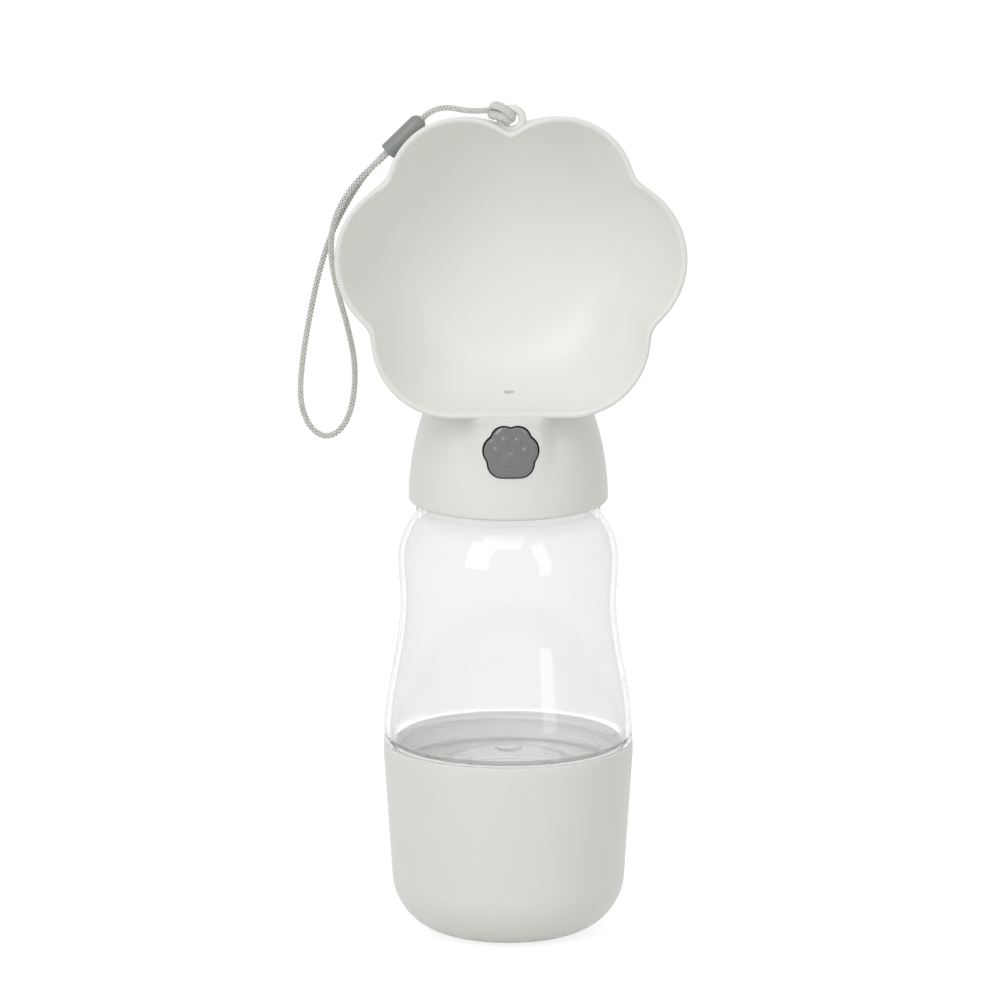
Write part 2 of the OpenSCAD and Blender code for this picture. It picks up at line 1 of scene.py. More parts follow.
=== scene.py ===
# Travel water bottle for a dog: clear waisted bottle, screw-on food cup, cap with a paw-shaped bowl,
# push button and wrist lanyard. Sizes in the dictionaries are millimetres; mm turns them into metres.
import math
import bpy
import bmesh
import numpy as np
from mathutils import Matrix, Vector


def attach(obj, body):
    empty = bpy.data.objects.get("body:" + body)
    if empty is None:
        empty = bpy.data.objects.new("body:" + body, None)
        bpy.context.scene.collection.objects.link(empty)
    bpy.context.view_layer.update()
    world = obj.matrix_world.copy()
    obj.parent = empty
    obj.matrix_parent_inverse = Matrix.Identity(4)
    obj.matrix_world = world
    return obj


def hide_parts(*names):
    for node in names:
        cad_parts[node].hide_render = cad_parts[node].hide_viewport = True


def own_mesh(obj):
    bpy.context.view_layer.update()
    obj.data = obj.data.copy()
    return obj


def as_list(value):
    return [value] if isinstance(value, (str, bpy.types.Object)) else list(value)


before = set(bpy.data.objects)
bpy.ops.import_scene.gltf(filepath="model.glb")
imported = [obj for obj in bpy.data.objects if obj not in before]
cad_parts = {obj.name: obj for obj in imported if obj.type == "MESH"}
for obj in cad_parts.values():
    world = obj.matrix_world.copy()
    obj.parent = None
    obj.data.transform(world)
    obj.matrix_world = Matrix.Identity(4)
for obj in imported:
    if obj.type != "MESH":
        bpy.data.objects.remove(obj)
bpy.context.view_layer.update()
scene = bpy.context.scene
mm = 0.001
slack = 0.1                      # mm, more than the middle of a face strays from the true surface


def direction(turn, rise):
    # unit vector away from the bottle: degrees to the right of its front, degrees above the level
    t, e = math.radians(turn), math.radians(rise)
    return Vector((math.sin(t) * math.cos(e), -math.cos(t) * math.cos(e), math.sin(e)))


cameraSet = {
    "aim": (-2.5, 0, 132.5),     # the point at the middle of the picture
    "distance": 6000,            # a long lens, so the sides stay almost parallel
    "rise": 13.3,
    "turn": -1.5,                # a little to the left of the bowl's middle
    "pixelsPerMm": 3.327,
    "pixelsWide": 1000,
    "sensor": 36,
    "clip": (1000, 30000),
}


def makeCamera(c):
    data = bpy.data.cameras.new("camera")
    data.sensor_width = c["sensor"]
    data.lens = c["sensor"] * c["pixelsPerMm"] * c["distance"] / c["pixelsWide"]
    data.clip_start, data.clip_end = c["clip"][0] * mm, c["clip"][1] * mm
    camera = bpy.data.objects.new("camera", data)
    back = direction(c["turn"], c["rise"])
    camera.location = (Vector(c["aim"]) + back * c["distance"]) * mm
    camera.rotation_euler = (-back).to_track_quat("-Z", "Y").to_euler()
    scene.collection.objects.link(camera)
    scene.camera = camera


makeCamera(cameraSet)
print("camera placed")


def linear(hexText):
    # an sRGB colour in hex to the linear one that the nodes take
    def channel(i):
        v = int(hexText[i:i + 2], 16) / 255
        return v / 12.92 if v <= 0.04045 else ((v + 0.055) / 1.055) ** 2.4
    return (channel(1), channel(3), channel(5), 1)


def addNode(tree, kind, inputs=None, **settings):
    # a node among the inputs stands for its first output
    n = tree.nodes.new(kind)
    for key, value in settings.items():
        setattr(n, key, value)
    for key, value in (inputs or {}).items():
        if isinstance(value, bpy.types.Node):
            value = value.outputs[0]
        if isinstance(value, bpy.types.NodeSocket):
            tree.links.new(value, n.inputs[key])
        else:
            n.inputs[key].default_value = value
    return n


def newObject(name, verts, faces, edges=()):
    mesh = bpy.data.meshes.new(name)
    mesh.from_pydata([tuple(float(c) for c in v) for v in verts], edges, faces)
    mesh.validate()
    obj = bpy.data.objects.new(name, mesh)
    scene.collection.objects.link(obj)
    return obj


def outward(obj):
    # a closed shell: doubled points merge and the faces turn outwards
    bm = bmesh.new()
    bm.from_mesh(obj.data)
    bmesh.ops.remove_doubles(bm, verts=bm.verts, dist=0.0001 * mm)
    bmesh.ops.recalc_face_normals(bm, faces=bm.faces)
    if bm.calc_volume(signed=True) < 0:
        bmesh.ops.reverse_faces(bm, faces=bm.faces)
    bm.to_mesh(obj.data)
    bm.free()
    return obj


def smooth(obj, degrees=32):
    obj.data.shade_smooth()
    obj.data.set_sharp_from_angle(angle=math.radians(degrees))
    return obj


def angles(steps):
    return 2 * np.pi * np.arange(steps) / steps


def arc(cx, cy, r, start, end, steps):
    a = np.radians(np.linspace(start, end, steps + 1))
    return [(cx + r * math.cos(t), cy + r * math.sin(t)) for t in a]


def sCurve(p, q, steps):
    # from p up to q, upright at both ends
    t = np.linspace(0, 1, steps + 1)
    s = t * t * (3 - 2 * t)
    return [(p[0] + (q[0] - p[0]) * b, p[1] + (q[1] - p[1]) * a) for a, b in zip(t, s)]


def lathe(name, profile, steps=256):
    # profile: (radius, height) in mm, from the axis round the section and back to the axis, or a closed ring
    p = np.array(profile, float)
    onAxis = p[:, 0] < 1e-6
    verts, index = [], []
    for (r, z), pole in zip(p, onAxis):
        index.append(len(verts))
        if pole:
            verts.append((0, 0, z * mm))
        else:
            verts += [(r * mm * math.cos(a), r * mm * math.sin(a), z * mm) for a in angles(steps)]
    faces = []
    for i in range(len(p) - 1 if onAxis[0] else len(p)):
        j = (i + 1) % len(p)
        a, b = index[i], index[j]
        for k in range(steps):
            k2 = (k + 1) % steps
            if onAxis[i]:
                faces.append((a, b + k2, b + k))
            elif onAxis[j]:
                faces.append((a + k, a + k2, b))
            else:
                faces.append((a + k, a + k2, b + k2, b + k))
    return outward(newObject(name, verts, faces))


def ringSolid(name, rows, middleFirst, middleLast):
    # rows: (n, m, 3) closed rings in mm, each end closed by a fan to a middle point
    n, m = rows.shape[:2]
    verts = np.concatenate([rows.reshape(-1, 3), [middleFirst, middleLast]]) * mm
    k = np.arange(m)
    k2 = (k + 1) % m
    faces = []
    for i in range(n - 1):
        a, b = i * m, (i + 1) * m
        faces += np.stack([a + k, a + k2, b + k2, b + k], 1).tolist()
    faces += np.stack([k2, k, np.full(m, n * m)], 1).tolist()
    last = (n - 1) * m
    faces += np.stack([last + k, last + k2, np.full(m, n * m + 1)], 1).tolist()
    return outward(newObject(name, verts, faces))


def rod(name, r, z0, z1, at=(0, 0), steps=64):
    solid = lathe(name, [(0, z0), (r, z0), (r, z1), (0, z1)], steps)
    solid.data.transform(Matrix.Translation((at[0] * mm, at[1] * mm, 0)))
    return solid


def slab(name, low, high):
    # a block between two corners in mm
    corners = [(x, y, z) for z in (low[2], high[2]) for y in (low[1], high[1]) for x in (low[0], high[0])]
    faces = [(0, 2, 3, 1), (4, 5, 7, 6), (0, 1, 5, 4), (2, 6, 7, 3), (0, 4, 6, 2), (1, 3, 7, 5)]
    return outward(newObject(name, np.array(corners) * mm, faces))


def carve(target, tool, operation):
    # joins the tool to the target, cuts it out, or keeps what they share; the tool is used up
    cut = target.modifiers.new("carve", "BOOLEAN")
    cut.object, cut.operation, cut.solver = tool, operation, "MANIFOLD"
    result = bpy.data.meshes.new_from_object(target.evaluated_get(bpy.context.evaluated_depsgraph_get()))
    target.modifiers.clear()
    old, target.data = target.data, result
    bpy.data.meshes.remove(old)
    bpy.data.objects.remove(tool)
    return target


def newTree(name, sizes, counts=()):
    # a Geometry Nodes tree with named inputs, sizes as numbers and counts as whole numbers; sums and
    # vectors add a step of arithmetic to it
    tree = bpy.data.node_groups.new(name, "GeometryNodeTree")
    for way in ("INPUT", "OUTPUT"):
        tree.interface.new_socket("Geometry", in_out=way, socket_type="NodeSocketGeometry")
    for kind, names in (("NodeSocketFloat", sizes), ("NodeSocketInt", counts)):
        for socket in names:
            tree.interface.new_socket(socket, in_out="INPUT", socket_type=kind)
    given = addNode(tree, "NodeGroupInput").outputs

    def sums(operation, a, b=0.0):
        return addNode(tree, "ShaderNodeMath", {0: a, 1: b}, operation=operation).outputs[0]

    def vectors(operation, a, b=(0, 0, 0)):
        result = addNode(tree, "ShaderNodeVectorMath", {0: a, "Scale" if operation == "SCALE" else 1: b},
                         operation=operation)
        return result.outputs["Value" if operation == "DOT_PRODUCT" else 0]

    return tree, given, sums, vectors


def sweep(tree, curve, out, corners, radius, deep, wide, **more):
    # an oval section along the curve: deep and wide stretch it along the out vector and across it
    turned = addNode(tree, "GeometryNodeSetCurveNormal", {"Curve": curve, "Normal": out}, mode="FREE")
    section = addNode(tree, "GeometryNodeCurvePrimitiveCircle", {"Resolution": corners, "Radius": radius},
                      mode="RADIUS")
    shape = addNode(tree, "ShaderNodeCombineXYZ", {0: deep, 1: wide, 2: 1.0})
    oval = addNode(tree, "GeometryNodeTransform", {"Geometry": section, "Scale": shape})
    return addNode(tree, "GeometryNodeCurveToMesh", {"Curve": turned, "Profile Curve": oval,
                                                     "Fill Caps": True, **more})


def runTree(source, tree, values, name):
    # the tree's inputs are set by their identifiers before the first evaluation; the result is a plain mesh
    mod = source.modifiers.new("grow", "NODES")
    mod.node_group = tree
    keys = {s.name: s.identifier for s in tree.interface.items_tree if s.in_out == "INPUT"}
    for key, value in values.items():
        mod[keys[key]] = value
    mesh = bpy.data.meshes.new_from_object(source.evaluated_get(bpy.context.evaluated_depsgraph_get()))
    made = bpy.data.objects.new(name, mesh)
    scene.collection.objects.link(made)
    bpy.data.objects.remove(source)
    return made


def twoFinishes(obj, first, second, choose):
    # choose(x, y, z), with the middles of the faces in mm, says which faces take the second material
    mesh = obj.data
    centre = np.empty(len(mesh.polygons) * 3)
    mesh.polygons.foreach_get("center", centre)
    mesh.materials.clear()
    for material in (first, second):
        mesh.materials.append(material)
    mesh.polygons.foreach_set("material_index", choose(*(centre.reshape(-1, 3).T / mm)).astype(np.int32))


def finishPiece(obj, material, body, stands=()):
    # a piece that already has its materials comes with None
    if material:
        obj.data.materials.clear()
        obj.data.materials.append(material)
    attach(obj, body)
    if stands:
        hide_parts(*stands)
    return obj


def newMaterial(name):
    m = bpy.data.materials.new(name)
    m.use_nodes = True
    m.node_tree.nodes.clear()
    return m, m.node_tree


def grain(tree, size, depth, detail=2.0):
    # fine relief: the size of one grain and its depth in mm
    place = addNode(tree, "ShaderNodeTexCoord").outputs["Object"]
    noise = addNode(tree, "ShaderNodeTexNoise", {"Vector": place, "Scale": 1 / (size * mm), "Detail": detail,
                                                 "Roughness": 0.55}).outputs["Fac"]
    bump = addNode(tree, "ShaderNodeBump", {"Height": noise, "Strength": 0.5, "Distance": depth * mm})
    return place, noise, bump


def drifting(tree, place, size, detail, light, dark):
    # two close tones that pass into each other over about size mm
    cloud = addNode(tree, "ShaderNodeTexNoise", {"Vector": place, "Scale": 1 / (size * mm), "Detail": detail})
    return addNode(tree, "ShaderNodeMix", {0: cloud.outputs["Fac"], 6: linear(dark), 7: linear(light)},
                   data_type="RGBA").outputs[2]


plasticSet = {
    "drift": 45,                 # the tone changes over a few centimetres
    "swing": 0.05,               # the roughness swings by this much with the grain
    "seeDepth": 1.5,             # how far light goes into the wall
    "bend": 1.52,
}


def mouldedPlastic(name, light, dark, rough, grainSize=0.5, grainDepth=0.02, see=0.0, shine=0.5):
    # an almost even tone under a spark-eroded grain, which breaks a highlight up softly
    m, tree = newMaterial(name)
    place, noise, bump = grain(tree, grainSize, grainDepth)
    swing = plasticSet["swing"]
    polish = addNode(tree, "ShaderNodeMapRange", {"Value": noise, "From Min": 0.3, "From Max": 0.7,
                                                  "To Min": rough - swing, "To Max": rough + swing})
    shader = addNode(tree, "ShaderNodeBsdfPrincipled", {
        "Base Color": drifting(tree, place, plasticSet["drift"], 1.5, light, dark), "Roughness": polish,
        "Normal": bump, "IOR": plasticSet["bend"], "Specular IOR Level": shine, "Subsurface Weight": see,
        "Subsurface Radius": (1.0, 0.95, 0.85), "Subsurface Scale": plasticSet["seeDepth"] * mm})
    addNode(tree, "ShaderNodeOutputMaterial", {"Surface": shader})
    return m


clearSet = {
    "tint": "#f7f7f7",           # the wall seen face on
    "rim": "#aeb0af",            # the wall seen along its length
    "rough": 0.015,
    "haze": 0.1,                 # share of light that the wall scatters, which lifts what lies behind many walls
    "bend": 1.08,                # a thin wall hardly shifts the view, so the body bends little
    "coatBend": 1.55,            # and the gloss comes from a coat that bends as the plastic does
    "rimPower": 6.0,             # the tint darkens only close to edge-on
    "glossPower": 2.5,           # the coat fades sooner, or white reflections would hide the outline
    "ripple": 14, "rippleDeep": 0.035,
}


def clearPlastic(name, c):
    # polished, with slow ripples in the wall and a grey outline where it is seen edge-on
    m, tree = newMaterial(name)
    *_, bump = grain(tree, c["ripple"], c["rippleDeep"], 0.5)
    facing = addNode(tree, "ShaderNodeLayerWeight", {"Blend": 0.5}).outputs["Facing"]
    dense = addNode(tree, "ShaderNodeMath", {0: facing, 1: c["rimPower"]}, operation="POWER")
    fade = addNode(tree, "ShaderNodeMath", {0: facing, 1: c["glossPower"]}, operation="POWER")
    gloss = addNode(tree, "ShaderNodeMath", {0: 1.0, 1: fade}, operation="SUBTRACT")
    tone = addNode(tree, "ShaderNodeMix", {0: dense, 6: linear(c["tint"]), 7: linear(c["rim"])},
                   data_type="RGBA")
    wall = addNode(tree, "ShaderNodeBsdfPrincipled", {
        "Base Color": tone.outputs[2], "Roughness": c["rough"], "IOR": c["bend"],
        "Transmission Weight": 1 - c["haze"], "Normal": bump, "Coat Weight": gloss,
        "Coat IOR": c["coatBend"], "Coat Roughness": c["rough"], "Coat Normal": bump})
    clear = addNode(tree, "ShaderNodeBsdfTransparent", {"Color": (1, 1, 1, 1)})
    path = addNode(tree, "ShaderNodeLightPath").outputs["Is Shadow Ray"]     # its shadow stays light
    mix = addNode(tree, "ShaderNodeMixShader", {0: path, 1: wall, 2: clear})
    addNode(tree, "ShaderNodeOutputMaterial", {"Surface": mix})
    return m


def braidedYarn(name, light, dark):
    # matt, with a soft sheen, fine filaments and small changes of tone along each strand
    m, tree = newMaterial(name)
    place, _, bump = grain(tree, 0.12, 0.03, 3.0)
    shader = addNode(tree, "ShaderNodeBsdfPrincipled", {
        "Base Color": drifting(tree, place, 1.4, 2.0, light, dark), "Roughness": 0.75, "Normal": bump,
        "Sheen Weight": 0.35, "Sheen Roughness": 0.45, "Specular IOR Level": 0.35})
    addNode(tree, "ShaderNodeOutputMaterial", {"Surface": shader})
    return m


def brightSteel(name, tone, rough, scratch):
    # metallic, with an uneven polish in fine scratches along the piece, scratch mm apart
    m, tree = newMaterial(name)
    place = addNode(tree, "ShaderNodeTexCoord").outputs["Object"]
    stretch = addNode(tree, "ShaderNodeMapping", {"Vector": place, "Scale": (1, 1, 0.15)})
    noise = addNode(tree, "ShaderNodeTexNoise", {"Vector": stretch, "Scale": 1 / (scratch * mm),
                                                 "Detail": 3.0}).outputs["Fac"]
    polish = addNode(tree, "ShaderNodeMapRange", {"Value": noise, "To Min": rough - 0.08,
                                                  "To Max": rough + 0.12})
    bump = addNode(tree, "ShaderNodeBump", {"Height": noise, "Strength": 0.25, "Distance": 0.01 * mm})
    shader = addNode(tree, "ShaderNodeBsdfPrincipled", {"Base Color": linear(tone), "Metallic": 1.0,
                                                        "Roughness": polish, "Normal": bump})
    addNode(tree, "ShaderNodeOutputMaterial", {"Surface": shader})
    return m


# white shells: an even, faintly warm white with soft highlights
whiteAbs = mouldedPlastic("white_abs_satin_moulded", "#efeeea", "#ecebe6", 0.42, see=0.06)
# inside the bowl and the cup: the same white a touch lighter, painted light that lifts these hollows, and
# smoother, with a wide clear sheen
litHollowAbs = mouldedPlastic("white_abs_painted_light_inside", "#f3f2ee", "#f0efea", 0.36, 0.6, 0.01, see=0.06)
# the button's face: mid grey, smooth enough for the slopes of its relief to catch the lamps
greyAbs = mouldedPlastic("grey_abs_satin_moulded", "#6c6f6e", "#696c6b", 0.2, 0.5, 0.001, shine=1.0)
# the button's skirt and flange: almost black, painted shade, so the gap round the face reads as a shadow line
shadeFlangeAbs = mouldedPlastic("abs_painted_shade_black_flange", "#171818", "#131414", 0.6)
# the lanyard's sleeve: a lighter satin grey
sleeveAbs = mouldedPlastic("light_grey_abs_moulded", "#8f918e", "#8a8c89", 0.36)
# unpigmented inner parts: waxy, and light goes some way in
naturalPp = mouldedPlastic("natural_polypropylene_moulded", "#efeee9", "#e6e5df", 0.35, see=0.25)
# seals and tube: soft milky white without a hard highlight
whiteSilicone = mouldedPlastic("white_silicone_moulded", "#efeeea", "#e7e6e1", 0.5, see=0.3, shine=0.4)
# the stem's ring: matt, nearly black
blackNitrile = mouldedPlastic("black_nitrile_rubber", "#3a3c3d", "#323435", 0.55)
# the bottle: clear and colourless, with sharp window highlights and a thin grey outline
clearCopolyester = clearPlastic("clear_copolyester_blow_moulded", clearSet)
# the cords: pale strands over a near-black core, painted shade that shows between them
cordYarn = braidedYarn("polyester_braid_light_grey", "#f0eeea", "#d2cfc9")
cordCoreShade = braidedYarn("polyester_core_painted_shade", "#3e3b39", "#32302e")
# spring wire and screws: bright metal, the screws a little duller
springSteel = brightSteel("spring_steel_drawn", "#c4c6c8", 0.28, 0.4)
screwSteel = brightSteel("zinc_plated_steel", "#b9bcc0", 0.35, 0.5)
print("materials made")

cordSet = {
    "diameter": 1.85,
    "strands": 8,                # four each way round, drawn coarser than the real yarn so that the plait shows
    "strandWide": 0.27,          # half the width of a strand's section
    "strandDeep": 0.17,          # half its thickness
    "lay": 4.7,                  # length of cord in which a strand goes once round
    "weave": 0.13,               # how far a strand rises and dips where it crosses others
    "step": 0.25,                # distance between the rings of a strand
    "proud": 0.06,               # the strands' crests stand this far over the cord's mean radius
    "tetherHidden": (12.5, 9.5, 6.5, 3.5),   # points inside the sleeve, as far back from its ends
    "loopHidden": (5, 2.5),
}
# routes of the CAD source
tetherRoute = [
    (-25.8, -14, 253.2), (-24.6, -14.1, 254.3), (-23, -14.5, 255.4), (-21.3, -15.3, 256.2),
    (-19.3, -16.3, 256.7), (-17, -17.4, 256.8), (-14.6, -18.5, 256.6), (-12.2, -19.6, 256.5),
    (-9.8, -20.8, 256.7), (-7.4, -22.2, 257.1), (-5.8, -23, 257.5), (-4.7, -23.4, 257.9)]
loopRoute = [
    (-36.6, -13, 242.6), (-38.9, -13, 240.4), (-43.6, -13, 234.9), (-48.6, -13, 227), (-53.2, -13, 217.6),
    (-56.8, -13, 206.4), (-59.5, -13, 194), (-61.6, -13, 181.6), (-62.6, -13, 171),
    (-61.9, -13, 163.8), (-59.4, -13.1, 158.4), (-55.6, -13.6, 155.9), (-51.6, -14.3, 157.2),
    (-48.4, -15, 162), (-46.6, -15.6, 170), (-46.6, -16, 179.6), (-48.6, -16.3, 190),
    (-51.4, -16.4, 200.6), (-53.3, -16.4, 211), (-52.8, -16.2, 220.6), (-49.6, -15.8, 228.6),
    (-44.6, -15.3, 235.2), (-39.4, -15, 239.9), (-36.7, -14.95, 242.5)]


def smoothRoute(points, steps):
    # a smooth curve through the points, as the CAD source draws it
    p = np.array(points, float)
    out = []
    for i in range(len(p) - 1):
        a, b, c, d = p[max(i - 1, 0)], p[i], p[i + 1], p[min(i + 2, len(p) - 1)]
        for t in np.arange(steps) / steps:
            out.append(0.5 * (2 * b + (c - a) * t + (2 * a - 5 * b + 4 * c - d) * t ** 2
                              + (3 * b - a - 3 * c + d) * t ** 3))
    out.append(p[-1])
    return np.array(out)


def routeLength(p):
    return float(np.linalg.norm(np.diff(p, axis=0), axis=1).sum())


def braidTree():
    # strands wound both ways round the route, over and under each other, on a core; Wide and Flat press the
    # round section into a band whose thin way is the route's own "facing" vector
    tree, given, sums, vectors = newTree("braided_cord", ("Radius", "Strand Wide", "Strand Deep", "Lay", "Weave",
                                                          "Step", "Wide", "Flat"), ("Strands",))
    line = addNode(tree, "GeometryNodeMeshToCurve", {"Mesh": given["Geometry"]})
    even = addNode(tree, "GeometryNodeResampleCurve", {"Curve": line, "Length": given["Step"]}, mode="LENGTH")
    tangent = addNode(tree, "GeometryNodeInputTangent").outputs[0]
    facing = addNode(tree, "GeometryNodeInputNamedAttribute", {"Name": "facing"}, data_type="FLOAT_VECTOR")
    facing = facing.outputs["Attribute"]
    upright = vectors("SUBTRACT", facing, vectors("SCALE", tangent, vectors("DOT_PRODUCT", facing, tangent)))
    keep = addNode(tree, "GeometryNodeCaptureAttribute", {"Geometry": even})
    for kind, name in (("VECTOR", "along"), ("VECTOR", "side"), ("FLOAT", "run")):
        keep.capture_items.new(kind, name)
    tree.links.new(tangent, keep.inputs[1])
    tree.links.new(vectors("NORMALIZE", upright), keep.inputs[2])
    tree.links.new(addNode(tree, "GeometryNodeSplineParameter").outputs["Length"], keep.inputs[3])
    along, side, run = keep.outputs[1], keep.outputs[2], keep.outputs[3]
    copies = addNode(tree, "GeometryNodeDuplicateElements", {"Geometry": keep, "Amount": given["Strands"]},
                     domain="SPLINE")
    # every second strand winds the other way
    number = copies.outputs["Duplicate Index"]
    way = sums("SUBTRACT", 1.0, sums("MULTIPLY", sums("MODULO", number, 2.0), 2.0))
    half = sums("MULTIPLY", given["Strands"], 0.5)
    phase = sums("DIVIDE", sums("MULTIPLY", sums("FLOOR", sums("DIVIDE", number, 2.0)), 2 * math.pi), half)
    wound = sums("DIVIDE", sums("MULTIPLY", run, 2 * math.pi), given["Lay"])
    turn = sums("ADD", phase, sums("MULTIPLY", wound, way))
    wave = sums("MULTIPLY", sums("COSINE", sums("MULTIPLY", wound, half)), sums("MULTIPLY", way, given["Weave"]))
    inset = sums("SUBTRACT", given["Radius"], sums("ADD", given["Strand Deep"], given["Weave"]))
    other = vectors("CROSS_PRODUCT", along, side)
    out = vectors("ADD", vectors("SCALE", side, sums("MULTIPLY", sums("COSINE", turn), given["Flat"])),
                  vectors("SCALE", other, sums("MULTIPLY", sums("SINE", turn), given["Wide"])))
    offset = vectors("SCALE", out, sums("ADD", inset, wave))
    strands = addNode(tree, "GeometryNodeSetPosition", {"Geometry": copies, "Offset": offset})
    yarn = sweep(tree, strands, out, 6, 1.0, given["Strand Deep"], given["Strand Wide"])
    yarn = addNode(tree, "GeometryNodeSetMaterial", {"Geometry": yarn, "Material": cordYarn})
    # the core's near black is painted shade between the strands
    core = sweep(tree, keep, side, 12, sums("SUBTRACT", inset, given["Strand Deep"]), given["Flat"], given["Wide"])
    core = addNode(tree, "GeometryNodeSetMaterial", {"Geometry": core, "Material": cordCoreShade})
    both = addNode(tree, "GeometryNodeJoinGeometry", {"Geometry": yarn})
    tree.links.new(core.outputs[0], both.inputs[0])
    shaded = addNode(tree, "GeometryNodeSetShadeSmooth", {"Geometry": both})
    real = addNode(tree, "GeometryNodeRealizeInstances", {"Geometry": shaded})
    addNode(tree, "NodeGroupOutput", {"Geometry": real})
    return tree


def routeObject(points, facings=None):
    # the route as a chain of edges that carries its facing vectors, turned along it without twist by default
    p = np.array(points, float)
    if facings is None:
        t = np.gradient(p, axis=0)
        t /= np.linalg.norm(t, axis=1)[:, None]
        f = np.array((0.0, 1.0, 0.0))
        facings = []
        for way in t:
            f = f - way * f.dot(way)
            f /= np.linalg.norm(f)
            facings.append(f)
    obj = newObject("route", p * mm, [], [(i, i + 1) for i in range(len(p) - 1)])
    facing = obj.data.attributes.new("facing", "FLOAT_VECTOR", "POINT")
    facing.data.foreach_set("vector", np.array(facings, float).ravel())
    return obj


sleeveSet = {
    "low": (-36.4, -14, 242.8), "high": (-26, -14, 253),   # middles of its two ends
    "length": 14.6, "diameter": 5.4,
    "nose": 2.45, "noseTurn": 62,    # rounding of the upper end, and how far round it goes
    "mouth": 0.35,               # rounding of the lower edge
    "bore": 1.95,                # radius of the lower hole, which takes two cords
    "boreBevel": (0.3, 0.4),     # across and up
    "neck": 1.1,                 # radius of the upper hole
    "neckBevel": (0.12, 0.28, 0.5),  # across, and the depths at which it starts and ends
    "wall": 3.2,                 # thickness of the upper end round its hole
    "taper": 0.9,                # slope from there to the bore
}


def makeSleeve(s):
    r, top, bore, neck = s["diameter"] / 2, s["length"], s["bore"], s["neck"]
    across, start, end = s["neckBevel"]
    profile = [(bore, s["boreBevel"][1]), (bore + s["boreBevel"][0], 0)]
    profile += arc(r - s["mouth"], s["mouth"], s["mouth"], -90, 0, 4)
    profile += arc(r - s["nose"], top - s["nose"], s["nose"], 0, s["noseTurn"], 12)
    profile += [(neck + across, top - start), (neck, top - end), (neck, top - s["wall"]),
                (bore, top - s["wall"] - s["taper"])]
    solid = lathe("lanyardSleeve", profile, 96)
    axis = Vector(s["high"]) - Vector(s["low"])
    solid.data.transform(axis.to_track_quat("Z", "Y").to_matrix().to_4x4())
    solid.data.transform(Matrix.Translation(Vector(s["low"]) * mm))
    return smooth(solid)


sleeve = finishPiece(makeSleeve(sleeveSet), sleeveAbs, "cap", ["lanyard_sleeve"])

hitchSet = {
    # a flattened band: over the eye's left leg, back through the eye, behind, and over the leg again below
    "route": [(-4.3, -21.9, 256.9), (-5.6, -21.9, 257.6), (-5.5, -23.1, 258.7), (-4.2, -24.7, 259.1),
              (-2.7, -25.5, 258.7), (-1.2, -25.6, 257.7), (0.1, -25.2, 256.5), (0.9, -24.2, 255.5),
              (0.9, -22.9, 255.1), (0.1, -21.6, 255.6), (-1.6, -21.1, 256.6), (-3.7, -20.9, 257.2),
              (-5.6, -21.1, 257.0), (-6.2, -22.2, 256.3), (-5.5, -23.6, 256.1), (-4.2, -24.9, 256.1),
              (-2.6, -25.5, 255.8), (-1.2, -25.4, 255.1), (-0.5, -24.5, 254.1), (-0.5, -23.2, 253.6),
              (-1.2, -21.9, 254.0), (-2.6, -21.3, 254.9), (-4.1, -21.4, 256.0)],
    "heart": (-2.4, -23.4, 256.0),   # the band's flat side faces away from this point
    "wide": 1.72, "flat": 0.68,      # the cord's round section is stretched and pressed by these
    "strands": 16, "strandWide": 0.31,
}


def makeCords():
    s = cordSet
    low, high = np.array(sleeveSet["low"], float), np.array(sleeveSet["high"], float)
    down = (low - high) / np.linalg.norm(low - high)
    hidden = [tuple(np.array(tetherRoute[0]) + down * k) for k in s["tetherHidden"]]
    tether = smoothRoute(hidden + tetherRoute, 3)[::-1]          # from the eye to the inside of the sleeve
    loopIn = [tuple(np.array(loopRoute[0]) - down * k) for k in s["loopHidden"]]
    loopOut = [tuple(np.array(loopRoute[-1]) - down * k) for k in reversed(s["loopHidden"])]
    loop = smoothRoute(loopIn + loopRoute + loopOut, 6)
    hitch = smoothRoute(hitchSet["route"], 6)
    away = hitch - np.array(hitchSet["heart"])
    away /= np.linalg.norm(away, axis=1)[:, None]
    plain = {"Radius": (s["diameter"] / 2 + s["proud"]) * mm, "Strand Wide": s["strandWide"] * mm,
             "Strand Deep": s["strandDeep"] * mm, "Lay": s["lay"] * mm, "Weave": s["weave"] * mm,
             "Step": s["step"] * mm, "Wide": 1.0, "Flat": 1.0, "Strands": s["strands"]}
    band = dict(plain, Wide=hitchSet["wide"], Flat=hitchSet["flat"], Strands=hitchSet["strands"])
    band["Strand Wide"] = hitchSet["strandWide"] * mm
    tree = braidTree()
    cords = []
    for name, route, facings, values, node in (
            ("lanyardTether", tether, None, plain, "lanyard_tether"),
            ("lanyardLoop", loop, None, plain, "lanyard_loop"),
            ("lanyardHitch", hitch, away, band, "tether_knot")):
        cord = runTree(routeObject(route, facings), tree, values, name)
        cords.append(finishPiece(cord, None, "cap", [node]))
    for cord, route, ends in ((cords[0], tether, [cords[2], sleeve]), (cords[1], loop, [sleeve])):
        routeLength(route) * mm
        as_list(ends)
    print("cords:", round(routeLength(tether), 1), "and", round(routeLength(loop), 1), "mm")


makeCords()

threadSet = {
    "pitch": 4,                  # height gained in one turn, as the joints of the CAD have it
    "cupLow": 53.3, "cupTurns": 1.0, "neckLow": 135.1, "neckTurns": 1.25,
    "innerBore": 24.9,           # of the inner cap, whose thread takes the bottle's neck
    "male": (0.55, 0.85),        # half section: outwards and along the axis
    "female": (0.3, 0.7),
    "fade": 9,                   # length over which a ridge runs out
    "leastShare": 0.12,          # of its section, left at the very end
    "pointsInTurn": 72,
}


